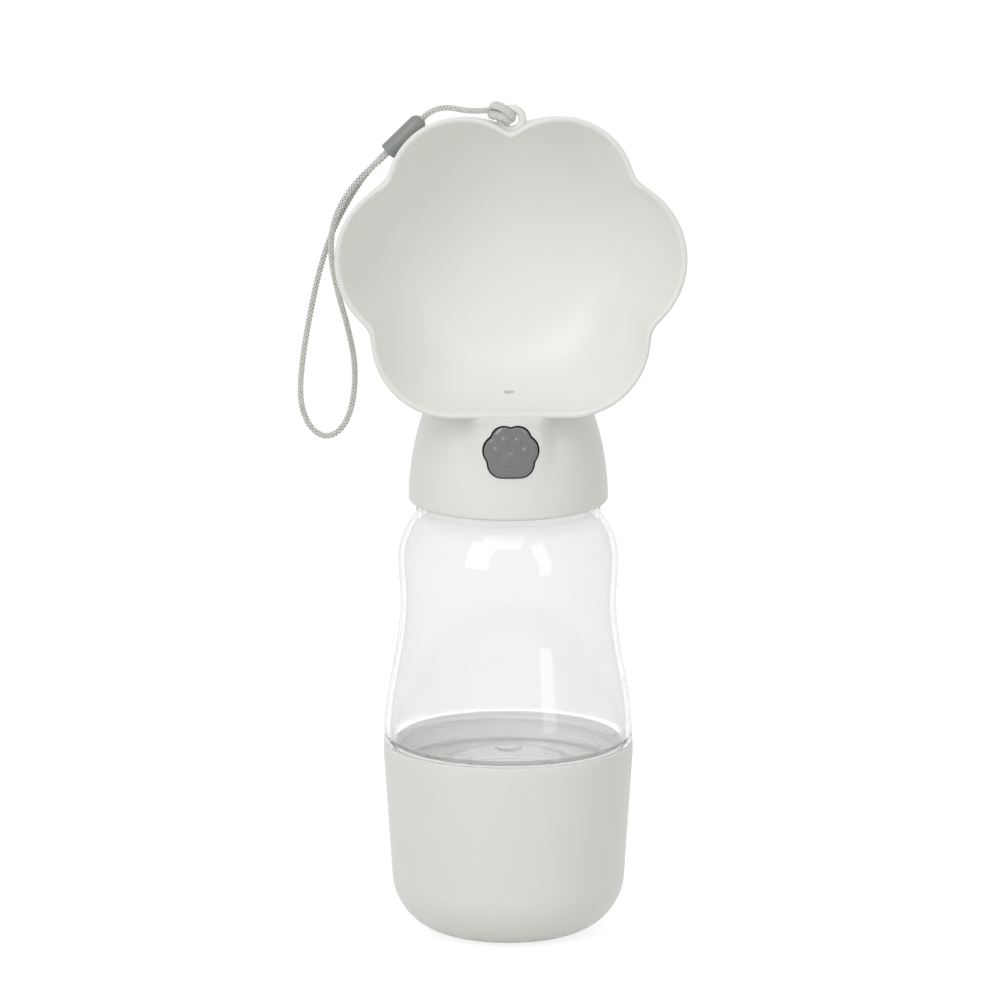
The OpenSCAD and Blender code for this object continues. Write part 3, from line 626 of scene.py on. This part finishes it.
def helixTree(material):
    # a rounded section along a right-hand helix; Fade is the length over which its ends run out
    tree, given, sums, vectors = newTree("helix", ("Radius", "Pitch", "Turns", "Low", "Start", "Deep", "High",
                                                   "Fade"), ("Points",))
    line = addNode(tree, "GeometryNodeCurvePrimitiveLine", {"End": (0, 0, 1)})
    even = addNode(tree, "GeometryNodeResampleCurve", {"Curve": line, "Count": given["Points"]}, mode="COUNT")
    keep = addNode(tree, "GeometryNodeCaptureAttribute", {"Geometry": even})
    keep.capture_items.new("FLOAT", "share")
    tree.links.new(addNode(tree, "GeometryNodeSplineParameter").outputs["Factor"], keep.inputs[1])
    share = keep.outputs[1]
    turned = sums("MULTIPLY", share, given["Turns"])
    angle = sums("ADD", given["Start"], sums("MULTIPLY", turned, 2 * math.pi))
    height = sums("ADD", given["Low"], sums("MULTIPLY", turned, given["Pitch"]))
    out = addNode(tree, "ShaderNodeCombineXYZ", {0: sums("COSINE", angle), 1: sums("SINE", angle)}).outputs[0]
    up = addNode(tree, "ShaderNodeCombineXYZ", {2: height}).outputs[0]
    place = vectors("ADD", vectors("SCALE", out, given["Radius"]), up)
    helix = addNode(tree, "GeometryNodeSetPosition", {"Geometry": keep, "Position": place})
    length = sums("MULTIPLY", sums("MULTIPLY", given["Turns"], given["Radius"]), 2 * math.pi)
    nearEnd = sums("MINIMUM", share, sums("SUBTRACT", 1.0, share))
    runOut = sums("DIVIDE", sums("MULTIPLY", nearEnd, length), given["Fade"])
    runOut = sums("MAXIMUM", sums("MINIMUM", runOut, 1.0), threadSet["leastShare"])
    ridge = sweep(tree, helix, out, 12, 1.0, given["Deep"], given["High"], Scale=runOut)
    real = addNode(tree, "GeometryNodeRealizeInstances", {"Geometry": ridge})
    dressed = addNode(tree, "GeometryNodeSetMaterial", {"Geometry": real, "Material": material})
    addNode(tree, "NodeGroupOutput", {"Geometry": dressed})
    return tree


def helixOf(name, material, radius, low, turns, section, start=0.0, pitch=threadSet["pitch"],
            fade=threadSet["fade"]):
    values = {"Radius": radius * mm, "Pitch": pitch * mm, "Turns": float(turns), "Low": low * mm,
              "Start": start, "Deep": section[0] * mm, "High": section[1] * mm, "Fade": fade * mm,
              "Points": int(turns * threadSet["pointsInTurn"])}
    return outward(runTree(newObject("seed", [(0, 0, 0)], []), helixTree(material), values, name))


cupSet = {
    "height": 58.5, "rimR": 37.5, "footR": 35, "cornerR": 18, "wall": 1.9, "threadWall": 2.5, "threadH": 14.5,
    "footRing": 0.8,             # the cup stands on a ring this high
    "ringWide": 1.2,             # flat under the ring; then a slope, a rounding and the raised floor
    "ringSlope": 2.2, "ringRound": 0.3, "ringTop": 3,
    "rimStraight": 4,            # upright stretch below the rim
    "rimRound": 0.5, "boreRound": 0.4,
    "lead": (0.9, 1),            # slope from the thinner wall to the thread's, across and up
}


def makeCup(c):
    cx, cz = c["footR"] - c["cornerR"], c["cornerR"]
    dx, dz = c["rimR"] - cx, c["height"] - c["rimStraight"] - cz
    end = math.degrees(math.atan2(dz, dx) - math.acos(c["cornerR"] / math.hypot(dx, dz)))
    bore, threadEnd = c["rimR"] - c["threadWall"], c["height"] - c["threadH"]
    inner, floor = c["cornerR"] - c["wall"], c["wall"] + c["footRing"]
    ring, edge, rim, soft = c["footRing"], c["ringRound"], c["rimRound"], c["boreRound"]
    profile = [(0, ring), (cx - c["ringTop"], ring)] + arc(cx - c["ringSlope"], ring - edge, edge, 180, 270, 3)
    profile += [(cx - c["ringWide"], 0.0)] + arc(cx, cz, c["cornerR"], -90, end, 40)
    profile += [(c["rimR"], c["height"] - c["rimStraight"])]
    profile += arc(c["rimR"] - rim, c["height"] - rim, rim, 0, 90, 8)
    profile += arc(bore + soft, c["height"] - soft, soft, 90, 180, 4)
    profile += [(bore, threadEnd), (c["rimR"] - c["wall"] - c["lead"][0], threadEnd - c["lead"][1])]
    profile += arc(cx, floor + inner, inner, end, -90, 32) + [(0, floor)]
    cup = lathe("foodCup", profile)
    t = threadSet
    carve(cup, helixOf("ridge", whiteAbs, bore, t["cupLow"], t["cupTurns"], t["female"], math.pi), "UNION")

    def inCup(x, y, z):
        r, midWall = np.hypot(x, y), c["cornerR"] - c["wall"] / 2
        corner = (r < cx) | (np.hypot(r - cx, cz - z) < midWall)
        return (z > floor - slack) & (r < bore + soft + slack) & ((z > cz) | corner)

    # the inside of the cup takes the lighter white: painted light
    twoFinishes(cup, whiteAbs, litHollowAbs, inCup)
    return smooth(cup)


finishPiece(makeCup(cupSet), None, "food_cup", ["food_cup"])
print("food cup made")

bottleSet = {
    "seam": 58.5, "seamR": 37.4, "waist": (32.5, 101.4), "bulge": (33.1, 113.5), "collar": (27.7, 128.5),
    "upright": (2, 0.4, 1.1),    # short upright stretches over the seam, the waist and the bulge
    "collarTop": 133.3, "collarRound": 0.4, "neckR": 24, "neckBore": 22.2, "neckTop": 141.5, "neckRound": 0.3,
    "neckSlope": ((0.6, 3), (0, 4.4)),   # from the shoulder to the bore: wider than it, over the collar's foot
    "wall": 1.8,
    "spigotR": 34.1, "heel": 46, "heelR": 4, "heelFlat": 3.6, "heelInside": 2.2,
    "dome": 8.2,                 # the bottom is pushed up this far
    "gateR": 4, "gateSteps": ((0, 0.5), (-0.3, 0.5), (0, 0.2), (0.3, -0.2)),   # the mark in the dome's middle
    "groove": 51, "sealR": 0.9, "sealProud": 0.8, "sealRoom": 0.05,
    "ledgeGap": 0.12,            # light gap over the cup's rim
    "ledgeRound": 0.5,
    "mouldLine": 130.4, "mouldDepth": 0.35,      # fine line round the foot of the collar
    "mouldSteps": (-0.4, -0.15, 0.1, 0.35),
}


def makeBottle(b):
    seam, waist, bulge, collar = (b["seamR"], b["seam"]), b["waist"], b["bulge"], b["collar"]
    overSeam, overWaist, overBulge = b["upright"]
    rise, drop = collar[1] - bulge[1] - overBulge, bulge[0] - collar[0]
    big = (rise * rise + drop * drop) / (2 * drop)
    shoulder = math.degrees(math.asin(rise / big))

    def side(inset):
        return (sCurve((seam[0] - inset, seam[1] + overSeam), (waist[0] - inset, waist[1]), 44)
                + sCurve((waist[0] - inset, waist[1] + overWaist), (bulge[0] - inset, bulge[1]), 18)
                + arc(bulge[0] - big, bulge[1] + overBulge, big - inset, 0, shoulder, 28))

    heel, spigot, wall = b["heel"], b["spigotR"], b["wall"]
    edge = spigot - b["heelR"] - b["heelFlat"]
    domeR = (edge ** 2 + b["dome"] ** 2) / (2 * b["dome"])
    domeZ = heel + b["dome"] - domeR
    domeA = math.degrees(math.acos(edge / domeR))
    profile = arc(0, domeZ, domeR, 90, domeA, 36)
    profile[0] = (0, heel + b["dome"])
    profile += arc(spigot - b["heelR"], heel + b["heelR"], b["heelR"], -100, 0, 16)
    grooveR, half = spigot + b["sealProud"] - 2 * b["sealR"] - b["sealRoom"], b["sealR"] + b["sealRoom"]
    profile += [(r, b["groove"] + z) for r, z in ((spigot, -half), (grooveR, -half), (grooveR, half),
                                                  (spigot, half))]
    ledge, soft = b["seam"] + b["ledgeGap"], b["ledgeRound"]
    profile += [(spigot, ledge)] + arc(b["seamR"] - soft, ledge + soft, soft, -90, 0, 6) + side(0)
    r, top, soft = collar[0], b["collarTop"], b["collarRound"]
    for step, deep in zip(b["mouldSteps"], (0, b["mouldDepth"], b["mouldDepth"], 0)):
        profile.append((r - deep, b["mouldLine"] + step))
    profile += arc(r - soft, top - soft, soft, 0, 90, 4)
    top, soft = b["neckTop"], b["neckRound"]
    profile += [(b["neckR"], b["collarTop"])] + arc(b["neckR"] - soft, top - soft, soft, 0, 90, 3)
    # the inside, from the middle of the bottom up to the mouth
    gate, steps, floor = b["gateR"], b["gateSteps"], heel + b["dome"] + wall
    inner = [(0, floor + steps[0][1])] + [(gate + dx, floor + dz) for dx, dz in steps[1:]]
    inner += [p for p in arc(0, domeZ, domeR + wall, 90, domeA + 4, 36) if p[0] > gate + 2 * steps[-1][0]]
    bore, corner = spigot - wall, b["heelInside"]
    inner += arc(bore - corner, heel + wall + corner, corner, -90, 0, 10) + [(bore, b["seam"] - 0.5)]
    inner += side(wall) + [(b["neckBore"] + dx, collar[1] + dz) for dx, dz in b["neckSlope"]]
    inner += arc(b["neckBore"] + soft, top - soft, soft, 180, 90, 3)
    bottle = lathe("clearBottle", profile + inner[::-1], 240)
    t = threadSet
    for radius, low, turns in ((spigot, t["cupLow"], t["cupTurns"]), (b["neckR"], t["neckLow"], t["neckTurns"])):
        carve(bottle, helixOf("ridge", clearCopolyester, radius, low, turns, t["male"]), "UNION")
    return smooth(bottle, 40)


finishPiece(makeBottle(bottleSet), clearCopolyester, "bottle", ["bottle"])
print("bottle made")

bowlSet = {
    "lobes": {"top": (15, 24.7, 22), "side": (27.1, 2.7, 25.8), "low": (17.5, -21.5, 24.3)},   # x, z, radius
    "blend": 30,                 # higher means sharper creases between the lobes
    "middle": 210, "rimY": -29.4, "depth": 38, "wall": 1.9, "lip": 0.9,
    "backR": 44.5, "sink": 3,    # the round back that the paw fades into, and how far it sits lower
    "power": 3,                  # 2 would round the back like a ball, more makes it fuller
    "around": 384, "rows": 44, "rowsFrom": 1.5, "rowsTo": 89,
}
capSet = {
    "low": 132.9, "radius": 30, "arcR": 84, "wall": 1.7, "edge": 1.0,
    "tall": 64, "hollowTall": 60,    # the dome and its hollow run up into the bowl
    "panelR": 29.4, "panelHalf": 12, "panelFade": 3.6, "panelWall": 2.0, "top": 164.2,
    "panelOver": 1.2,            # the panel reaches this far over the hollow's top
    "brow": 160.2,               # from here up the panel's front flattens until it meets the bowl's rim
    "browInset": 0.06,
    "slotLow": 135.9, "slotTop": 163.9,
    "slotHalf": 9.65,            # half width of the hollow behind the panel
    "slotFront": -40, "slotBack": -10,
    "bossR": 3.1, "bossTop": 20, "bossTrim": 0.3,    # each boss runs up to the dome's wall and is trimmed there
    "screwCircle": 19, "screwR": 1.35, "screwDepth": 10, "discTop": 144.9,
    "outletY": -9, "tubeR": 3.05, "outletWide": 1.6, "outletDeep": 0.85, "tubeTop": 165.15,
    "tubeWall": 1.25, "tubeLow": 5, "tubeHigh": 11,  # the tube's boss, from below the hollow's top to over it
    "around": 360, "rows": 70,
}
buttonSet = {
    "lobes": {"top": (2.0, 3.87, 3.73), "side": (3.28, 0.24, 4.79), "low": (2.7, -3.65, 4.05)},
    "blend": 30, "around": 360,
    "middle": 154.1, "faceR": 30.2, "gap": 0.52,
    "hole": (-32, -15),          # the hole for it is cut between these depths
    "edge": 0.95, "edgeDrop": 0.45,      # the slanting border round the face
    "edgeSlant": 0.55,           # share of the drop that is a plain slope, the rest rounds over
    "skirt": (-27.5, -26),
    "dark": 28.5,                # from this distance inwards the moulding takes the flange's near black, painted shade for the gap
    "flange": {"half": 9.3, "radius": 27.35, "back": -24.55, "low": 145.2, "top": 163.4},
}
tiny = 0.01                      # mm, the reach of a lobe that a direction misses


def lobeReach(lobe, a, side):
    x, z, r = side * lobe[0], lobe[1], lobe[2]
    along, off = x * np.cos(a) + z * np.sin(a), x * np.sin(a) - z * np.cos(a)
    far = along + np.sqrt(np.maximum(r * r - off * off, 0))
    return np.where(np.abs(off) < r, np.maximum(far, tiny), tiny)


def pawOutline(s, a):
    # distance from the middle to the outline of five lobes, with a straight edge under the two low ones
    low = s["lobes"]["low"]
    drop = low[2] - low[1]
    with np.errstate(divide="ignore"):
        flat = np.where(np.sin(a) < -0.01, -drop / np.sin(a), tiny)
    flat = np.where(np.abs(flat * np.cos(a)) <= low[0], flat, tiny)
    every = [lobeReach(s["lobes"][key], a, side) for key in ("top", "side") for side in (1, -1)]
    every.append(np.maximum(np.maximum(lobeReach(low, a, 1), lobeReach(low, a, -1)), flat))
    every = np.stack(every)
    big = every.max(0)
    return big * ((every / big) ** s["blend"]).sum(0) ** (1 / s["blend"])


def bowlSkin(name, inset, mouth):
    # mouth: (depth, growth) rows at the rim; then rings that fade from the paw's outline into a round back
    b = bowlSet
    a = angles(b["around"])
    paw = pawOutline(b, a)
    deep, power = b["depth"] - inset, b["power"]
    rows = [(d, 1.0, grow) for d, grow in mouth]
    for f in np.radians(np.linspace(b["rowsFrom"], b["rowsTo"], b["rows"])):
        k = (math.sin(f) ** power + math.cos(f) ** power) ** (1 / power)
        rows.append((deep * math.sin(f) / k, math.cos(f) / k, 0))
    rings = []
    for d, s, grow in rows:
        u = max(0, d) / deep
        r = s * (paw * (1 - u) + b["backR"] * u - inset) + grow
        height = b["middle"] - b["sink"] * u + r * np.sin(a)
        rings.append(np.stack([r * np.cos(a), np.full_like(a, b["rimY"] + d), height], 1))
    return ringSolid(name, np.array(rings), (0, b["rimY"] + rows[0][0], b["middle"]),
                     (0, b["rimY"] + deep, b["middle"] - b["sink"]))


def inBowl(x, y, z):
    # faces on or within the bowl's inner skin, which take the lighter white: painted light
    b = bowlSet
    u = np.clip((y - b["rimY"]) / (b["depth"] - b["wall"]), 0, 1)
    up = z - b["middle"] + b["sink"] * u
    paw = pawOutline(b, np.arctan2(up, x))
    limit = (1 - u ** b["power"]) ** (1 / b["power"]) * (paw * (1 - u) + b["backR"] * u - b["wall"])
    return (u > 0) & (u < 1) & (np.hypot(x, up) < limit + 3 * slack)


def capSkin(name, inset, low, top, panel):
    # the cap's outer or inner skin, a slim dome; panel brings its front out to the rim's distance
    c = capSet
    z = np.linspace(low, top, c["rows"])
    r = c["radius"] - c["arcR"] + np.sqrt((c["arcR"] - inset) ** 2 - (z - c["low"]) ** 2)
    rows = [(max(q, 0.3), h) for q, h in zip(r, z)]
    if panel:
        rows = arc(c["radius"] - c["edge"], low + c["edge"], c["edge"], -90, -8, 8) + rows[1:]
    a = angles(c["around"])
    rings = []
    for q, h in rows:
        ring = np.full_like(a, q)
        if panel and low + c["edge"] < h < c["top"] + c["panelOver"]:
            x = np.abs(c["panelR"] * np.cos(a))
            t = np.clip((c["panelHalf"] + c["panelFade"] - x) / (2 * c["panelFade"]), 0, 1)
            t = np.where(np.sin(a) < 0, t * t * (3 - 2 * t), 0)
            brow = np.clip((h - c["brow"]) / (c["top"] - c["brow"]), 0, 1)
            flat = (c["panelR"] - c["browInset"]) / np.maximum(np.abs(np.sin(a)), 0.3)
            front = c["panelR"] + (flat - c["panelR"]) * brow * brow * (3 - 2 * brow)
            ring = ring + t * np.maximum(front - ring, 0)
        rings.append(np.stack([ring * np.cos(a), ring * np.sin(a), np.full_like(a, h)], 1))
    return ringSolid(name, np.array(rings), (0, 0, rows[0][1]), (0, 0, rows[-1][1]))


def pawPrism(name, s, grow, steps=180):
    a = angles(steps)
    r = pawOutline(s, a) + grow
    rings = [np.stack([r * np.cos(a), np.full_like(a, y), s["middle"] + r * np.sin(a)], 1) for y in s["hole"]]
    return ringSolid(name, np.array(rings), *((0, y, s["middle"]) for y in s["hole"]))


lugSet = {"x": 0.3, "y": -23.5, "z": 254.7, "radius": 3.3, "band": 1.15, "around": 96, "across": 32}


def makeLug(l):
    # the eye for the lanyard, a ring upright in the plane of the bowl's mouth
    verts, faces = [], []
    n, m = l["around"], l["across"]
    for i, p in enumerate(angles(n)):
        for j, q in enumerate(angles(m)):
            r = l["radius"] + l["band"] * math.cos(q)
            verts.append(((l["x"] + r * math.cos(p)) * mm, (l["y"] + l["band"] * math.sin(q)) * mm,
                          (l["z"] + r * math.sin(p)) * mm))
            i2, j2 = (i + 1) % n, (j + 1) % m
            faces.append((i * m + j, i2 * m + j, i2 * m + j2, i * m + j2))
    return outward(newObject("lug", verts, faces))


def makeBowlCap(b, c):
    quarter = np.radians(np.linspace(0, 90, 7))
    lip = [(b["lip"] * (1 - math.cos(t)), -b["lip"] * (1 - math.sin(t))) for t in quarter]
    mouth = [(-1, b["lip"])] + [(d, -g) for d, g in lip]
    places = [(c["screwCircle"] * math.cos(a), c["screwCircle"] * math.sin(a))
              for a in (math.radians(90 + 120 * i) for i in range(3))]
    low, top, disc, tube = c["low"], c["top"], c["discTop"], (0, c["outletY"])
    shell = capSkin("bowlCap", 0, low, low + c["tall"], True)
    carve(shell, capSkin("hollow", c["wall"], low - 1, low + c["hollowTall"], False), "DIFFERENCE")
    for at in places:
        boss = rod("boss", c["bossR"], disc, top + c["bossTop"], at)
        carve(boss, capSkin("trim", c["bossTrim"], low, low + c["hollowTall"], False), "INTERSECT")
        carve(shell, boss, "UNION")
    seat = rod("outletBoss", c["tubeR"] + c["tubeWall"], top - c["tubeLow"], top + c["tubeHigh"], tube)
    carve(shell, seat, "UNION")
    carve(shell, bowlSkin("bowlOuter", 0, lip), "UNION")
    carve(shell, bowlSkin("bowlInner", b["wall"], mouth), "DIFFERENCE")
    slot = rod("slot", c["panelR"] - c["panelWall"], c["slotLow"], c["slotTop"], steps=360)
    box = slab("slotBox", (-c["slotHalf"], c["slotFront"], 100), (c["slotHalf"], c["slotBack"], 200))
    carve(slot, box, "INTERSECT")
    carve(shell, slot, "DIFFERENCE")
    carve(shell, pawPrism("hole", buttonSet, buttonSet["gap"]), "DIFFERENCE")
    carve(shell, rod("tubeSeat", c["tubeR"], top - 10, c["tubeTop"], tube), "DIFFERENCE")
    outlet = rod("outlet", 1, top - 10, top + 20)
    outlet.data.transform(Matrix.Diagonal((c["outletWide"], c["outletDeep"], 1, 1)))
    outlet.data.transform(Matrix.Translation((0, c["outletY"] * mm, 0)))
    carve(shell, outlet, "DIFFERENCE")
    for at in places:
        carve(shell, rod("screwHole", c["screwR"], disc - 1, disc + c["screwDepth"], at), "DIFFERENCE")
    lug = carve(makeLug(lugSet), bowlSkin("bowlInner", b["wall"], mouth), "DIFFERENCE")
    carve(shell, lug, "UNION")
    # the inside of the bowl takes the lighter white: painted light
    twoFinishes(shell, whiteAbs, litHollowAbs, inBowl)
    return smooth(shell, 28)


bowlCap = finishPiece(makeBowlCap(bowlSet, capSet), None, "cap", ["bowl_cap"])
print("cap and bowl made:", len(bowlCap.data.polygons), "faces")

pawSet = {
    "rise": 0.36,                # height of the relief
    "bevel": 0.27,               # half width of its sloping edge, which catches the lamps
    "plain": 0.8,                # share of the edge that is a plain slope, the rest is rounded
    "toes": [(1.98, 3.15, 0.95, 1.3, -8), (4.35, 0.3, 0.9, 1.15, -20)],   # x, z, half width, half height, lean
    "pad": [(0.75, -0.26), (2.95, -2.65), (2.95, -4.2), (-2.95, -4.2), (-2.95, -2.65), (-0.75, -0.26)],
    "rings": 96, "edgeRings": 8,
}


def reliefHeight(x, z):
    # height of toes and pad over the button's face; x and z are arrays in mm from the button's middle
    p = pawSet
    inside = np.full(x.shape, -np.inf)
    for tx, tz, w, h, lean in p["toes"]:
        for side in (1, -1):
            a = math.radians(lean * side)
            dx, dz = x - side * tx, z - tz
            u, v = dx * math.cos(a) + dz * math.sin(a), -dx * math.sin(a) + dz * math.cos(a)
            inside = np.maximum(inside, (1 - np.hypot(u / w, v / h)) * min(w, h))
    pad = np.array(p["pad"], float)
    edge = np.full(x.shape, np.inf)
    for q, r in zip(pad, np.roll(pad, -1, axis=0)):
        n = np.array([r[1] - q[1], q[0] - r[0]]) / np.linalg.norm(r - q)
        edge = np.minimum(edge, (x - q[0]) * n[0] + (z - q[1]) * n[1])
    t = np.clip(np.maximum(inside, edge) / p["bevel"] * 0.5 + 0.5, 0, 1)
    return p["rise"] * (p["plain"] * t + (1 - p["plain"]) * t * t * (3 - 2 * t))


def makeButton(s):
    a = angles(s["around"])
    full = pawOutline(s, a)
    flat = full - s["edge"]
    rings = []
    for k in np.linspace(0.015, 1, pawSet["rings"]):
        x, z = flat * k * np.cos(a), flat * k * np.sin(a)
        rings.append((x, -np.sqrt(s["faceR"] ** 2 - x ** 2) - reliefHeight(x, z), z))
    slant = s["edgeSlant"]
    for t in np.linspace(0.06, 1, pawSet["edgeRings"]):
        r = flat + s["edge"] * t
        x, z = r * np.cos(a), r * np.sin(a)
        drop = s["edgeDrop"] * (slant * t + (1 - slant) * (1 - math.sqrt(1 - t * t)))
        rings.append((x, -np.sqrt(s["faceR"] ** 2 - x ** 2) + drop, z))
    for y in s["skirt"]:
        rings.append((full * np.cos(a), np.full_like(a, y), full * np.sin(a)))
    rows = np.array([np.stack([x, y, z + s["middle"]], 1) for x, y, z in rings])
    face = ringSolid("button_paw", rows, (0, -s["faceR"], s["middle"]), (0, s["skirt"][1], s["middle"]))
    f = s["flange"]
    flange = rod("flange", f["radius"], f["low"], f["top"], steps=240)
    carve(flange, slab("flangeBox", (-f["half"], -40, 100), (f["half"], f["back"], 200)), "INTERSECT")
    carve(face, flange, "UNION")
    # the skirt and flange take the near black: painted shade, so the gap round the face reads dark
    twoFinishes(face, greyAbs, shadeFlangeAbs, lambda x, y, z: y > -s["dark"])
    return smooth(face, 24)


finishPiece(makeButton(buttonSet), None, "button", ["button"])
print("button made")

screwSet = {
    "circle": 19, "count": 3, "first": 90, "head": 141.2, "seat": 142.7, "headR": 2.6,
    "domeRise": 0.7, "domeTurn": 1.45,   # the head's rounding
    "shankR": 1.05, "tip": 152.3, "point": (0.3, 0.9),
    "ridge": (0.2, 0.3), "lead": 1.1, "threadFrom": 0.6, "threadShort": 2.2, "fade": 2.0,
    "cross": (0.62, 3.2, 0.9),   # width, length and depth of the recess
}
springSet = {"radius": 3.2, "wire": 0.275, "low": 134.8, "high": 138.75, "turns": 4, "seat": 134.5, "stroke": 2.4}


def makeScrew(s):
    dome = [(s["headR"] * math.sin(t), s["head"] + s["domeRise"] * (1 - math.cos(t)))
            for t in np.linspace(0, s["domeTurn"], 10)]
    dome[0] = (0, s["head"])
    screw = lathe("screw", dome + [(s["headR"], s["seat"]), (s["shankR"], s["seat"]),
                                   (s["shankR"], s["tip"] - s["point"][1]), (s["point"][0], s["tip"]),
                                   (0, s["tip"])], 48)
    wide, long, deep = s["cross"]
    for x, y in ((wide, long), (long, wide)):
        tool = slab("cross", (-x / 2, -y / 2, s["head"] - 1), (x / 2, y / 2, s["head"] + deep))
        carve(screw, tool, "DIFFERENCE")
    turns = (s["tip"] - s["seat"] - s["threadShort"]) / s["lead"]
    ridge = helixOf("ridge", screwSteel, s["shankR"], s["seat"] + s["threadFrom"], turns, s["ridge"],
                    pitch=s["lead"], fade=s["fade"])
    return carve(screw, ridge, "UNION")


def ringTree(material):
    # copies of the source on a circle round the Z axis
    tree, given, *_ = newTree("ring_of_screws", ("Circle", "First"), ("Count",))
    circle = addNode(tree, "GeometryNodeMeshCircle", {"Vertices": given["Count"], "Radius": given["Circle"]})
    angle = addNode(tree, "ShaderNodeCombineXYZ", {2: given["First"]})
    turned = addNode(tree, "GeometryNodeTransform", {"Geometry": circle, "Rotation": angle})
    copies = addNode(tree, "GeometryNodeInstanceOnPoints", {"Points": turned, "Instance": given["Geometry"]})
    real = addNode(tree, "GeometryNodeRealizeInstances", {"Geometry": copies})
    dressed = addNode(tree, "GeometryNodeSetMaterial", {"Geometry": real, "Material": material})
    addNode(tree, "NodeGroupOutput", {"Geometry": dressed})
    return tree


def makeInnerDetails(t, s, w):
    thread = helixOf("innerCapThread", naturalPp, t["innerBore"], t["neckLow"], t["neckTurns"], t["female"],
                     math.pi)
    finishPiece(smooth(thread, 50), naturalPp, "cap")
    values = {"Circle": s["circle"] * mm, "First": math.radians(s["first"]), "Count": s["count"]}
    screws = runTree(makeScrew(s), ringTree(screwSteel), values, "innerCapScrews")
    finishPiece(smooth(screws, 35), screwSteel, "cap", ["inner_cap_screws"])
    spring = helixOf("valveSpring", springSteel, w["radius"], w["low"], w["turns"], (w["wire"], w["wire"]),
                     pitch=(w["high"] - w["low"]) / w["turns"], fade=w["wire"])
    finishPiece(smooth(spring, 60), springSteel, "cap", ["valve_spring"])
    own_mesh(spring)


makeInnerDetails(threadSet, screwSet, springSet)
print("thread, screws and spring made")

# these pieces keep their CAD meshes
nodeFinish = {
    "cup_seal": whiteSilicone, "neck_seal": whiteSilicone, "inner_cap": naturalPp,
    "valve_cage": naturalPp, "valve_plug": whiteSilicone, "valve_stem": naturalPp,
    "stem_o_ring": blackNitrile, "outlet_tube": whiteSilicone, "button_slider": naturalPp,
}
for name, material in nodeFinish.items():
    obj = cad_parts[name]
    obj.data.materials.clear()
    obj.data.materials.append(material)
print("inner pieces dressed")

stageSet = {
    "floorHalf": 6000,
    "floorTone": "#e6e6e4",      # the paint that lights the part
    "floorShown": "#a8a8a8", "floorLift": 0.8,   # where it is seen: shade and glow that add up to white
}
lampAway, lampAim = 1500, 140    # distance from the bottle, and the height that the lamps point at
lampSet = [
    # directions in degrees to the right and above the level
    {"name": "softboxLeft", "turn": -36, "rise": 29, "wide": 640, "high": 1180, "watts": 6.3,
     "tone": (0.94, 0.97, 1)},
    {"name": "softboxRight", "turn": 38, "rise": 22, "wide": 380, "high": 1450, "watts": 2.0,
     "tone": (1, 0.98, 0.95)},
    {"name": "softboxTop", "turn": -10, "rise": 62, "wide": 1000, "high": 1000, "watts": 2.9,
     "tone": (1, 1, 1)},
    {"name": "softboxBack", "turn": 165, "rise": 38, "wide": 1200, "high": 1000, "watts": 2.1,
     "tone": (1, 0.99, 0.98)},
]
worldLevel = 0.5                 # the room's own light


def whereSeen(tree):
    # 1 for what the camera sees, itself or in gloss or through the bottle
    path = addNode(tree, "ShaderNodeLightPath").outputs
    seen = path["Is Camera Ray"]
    for ray in ("Is Glossy Ray", "Is Transmission Ray"):
        seen = addNode(tree, "ShaderNodeMath", {0: seen, 1: path[ray]}, operation="MAXIMUM").outputs[0]
    return seen


def makeStage(s):
    h = s["floorHalf"] * mm
    floor = newObject("floor", [(-h, -h, 0), (h, -h, 0), (h, h, 0), (-h, h, 0)], [(0, 1, 2, 3)])
    m, tree = newMaterial("painted_studio_floor")
    plain = addNode(tree, "ShaderNodeBsdfDiffuse", {"Color": linear(s["floorTone"])})
    shown = addNode(tree, "ShaderNodeBsdfDiffuse", {"Color": linear(s["floorShown"])})
    lift = addNode(tree, "ShaderNodeEmission", {"Color": (1, 1, 1, 1), "Strength": s["floorLift"]})
    lifted = addNode(tree, "ShaderNodeAddShader", {0: shown, 1: lift})
    mix = addNode(tree, "ShaderNodeMixShader", {0: whereSeen(tree), 1: plain, 2: lifted})
    addNode(tree, "ShaderNodeOutputMaterial", {"Surface": mix})
    floor.data.materials.append(m)


def makeLamp(l):
    data = bpy.data.lights.new(l["name"], "AREA")
    data.shape, data.size, data.size_y, data.energy = "RECTANGLE", l["wide"] * mm, l["high"] * mm, l["watts"]
    data.color = l["tone"]
    lamp = bpy.data.objects.new(l["name"], data)
    way = direction(l["turn"], l["rise"])
    lamp.location = way * lampAway * mm + Vector((0, 0, lampAim * mm))
    lamp.rotation_euler = way.to_track_quat("Z", "Y").to_euler()
    scene.collection.objects.link(lamp)


def makeWorld(level):
    # the room lights the part at this level and is seen as white
    world = bpy.data.worlds.new("studio")
    scene.world = world
    world.use_nodes = True
    tree = world.node_tree
    tree.nodes.clear()
    room, white = (addNode(tree, "ShaderNodeBackground", {"Color": (1, 1, 1, 1), "Strength": strength})
                   for strength in (level, 1.0))
    mix = addNode(tree, "ShaderNodeMixShader", {0: whereSeen(tree), 1: room, 2: white})
    addNode(tree, "ShaderNodeOutputWorld", {"Surface": mix})


makeStage(stageSet)
for lamp in lampSet:
    makeLamp(lamp)
makeWorld(worldLevel)
scene.view_settings.view_transform = "Standard"
print("stage and lamps set")
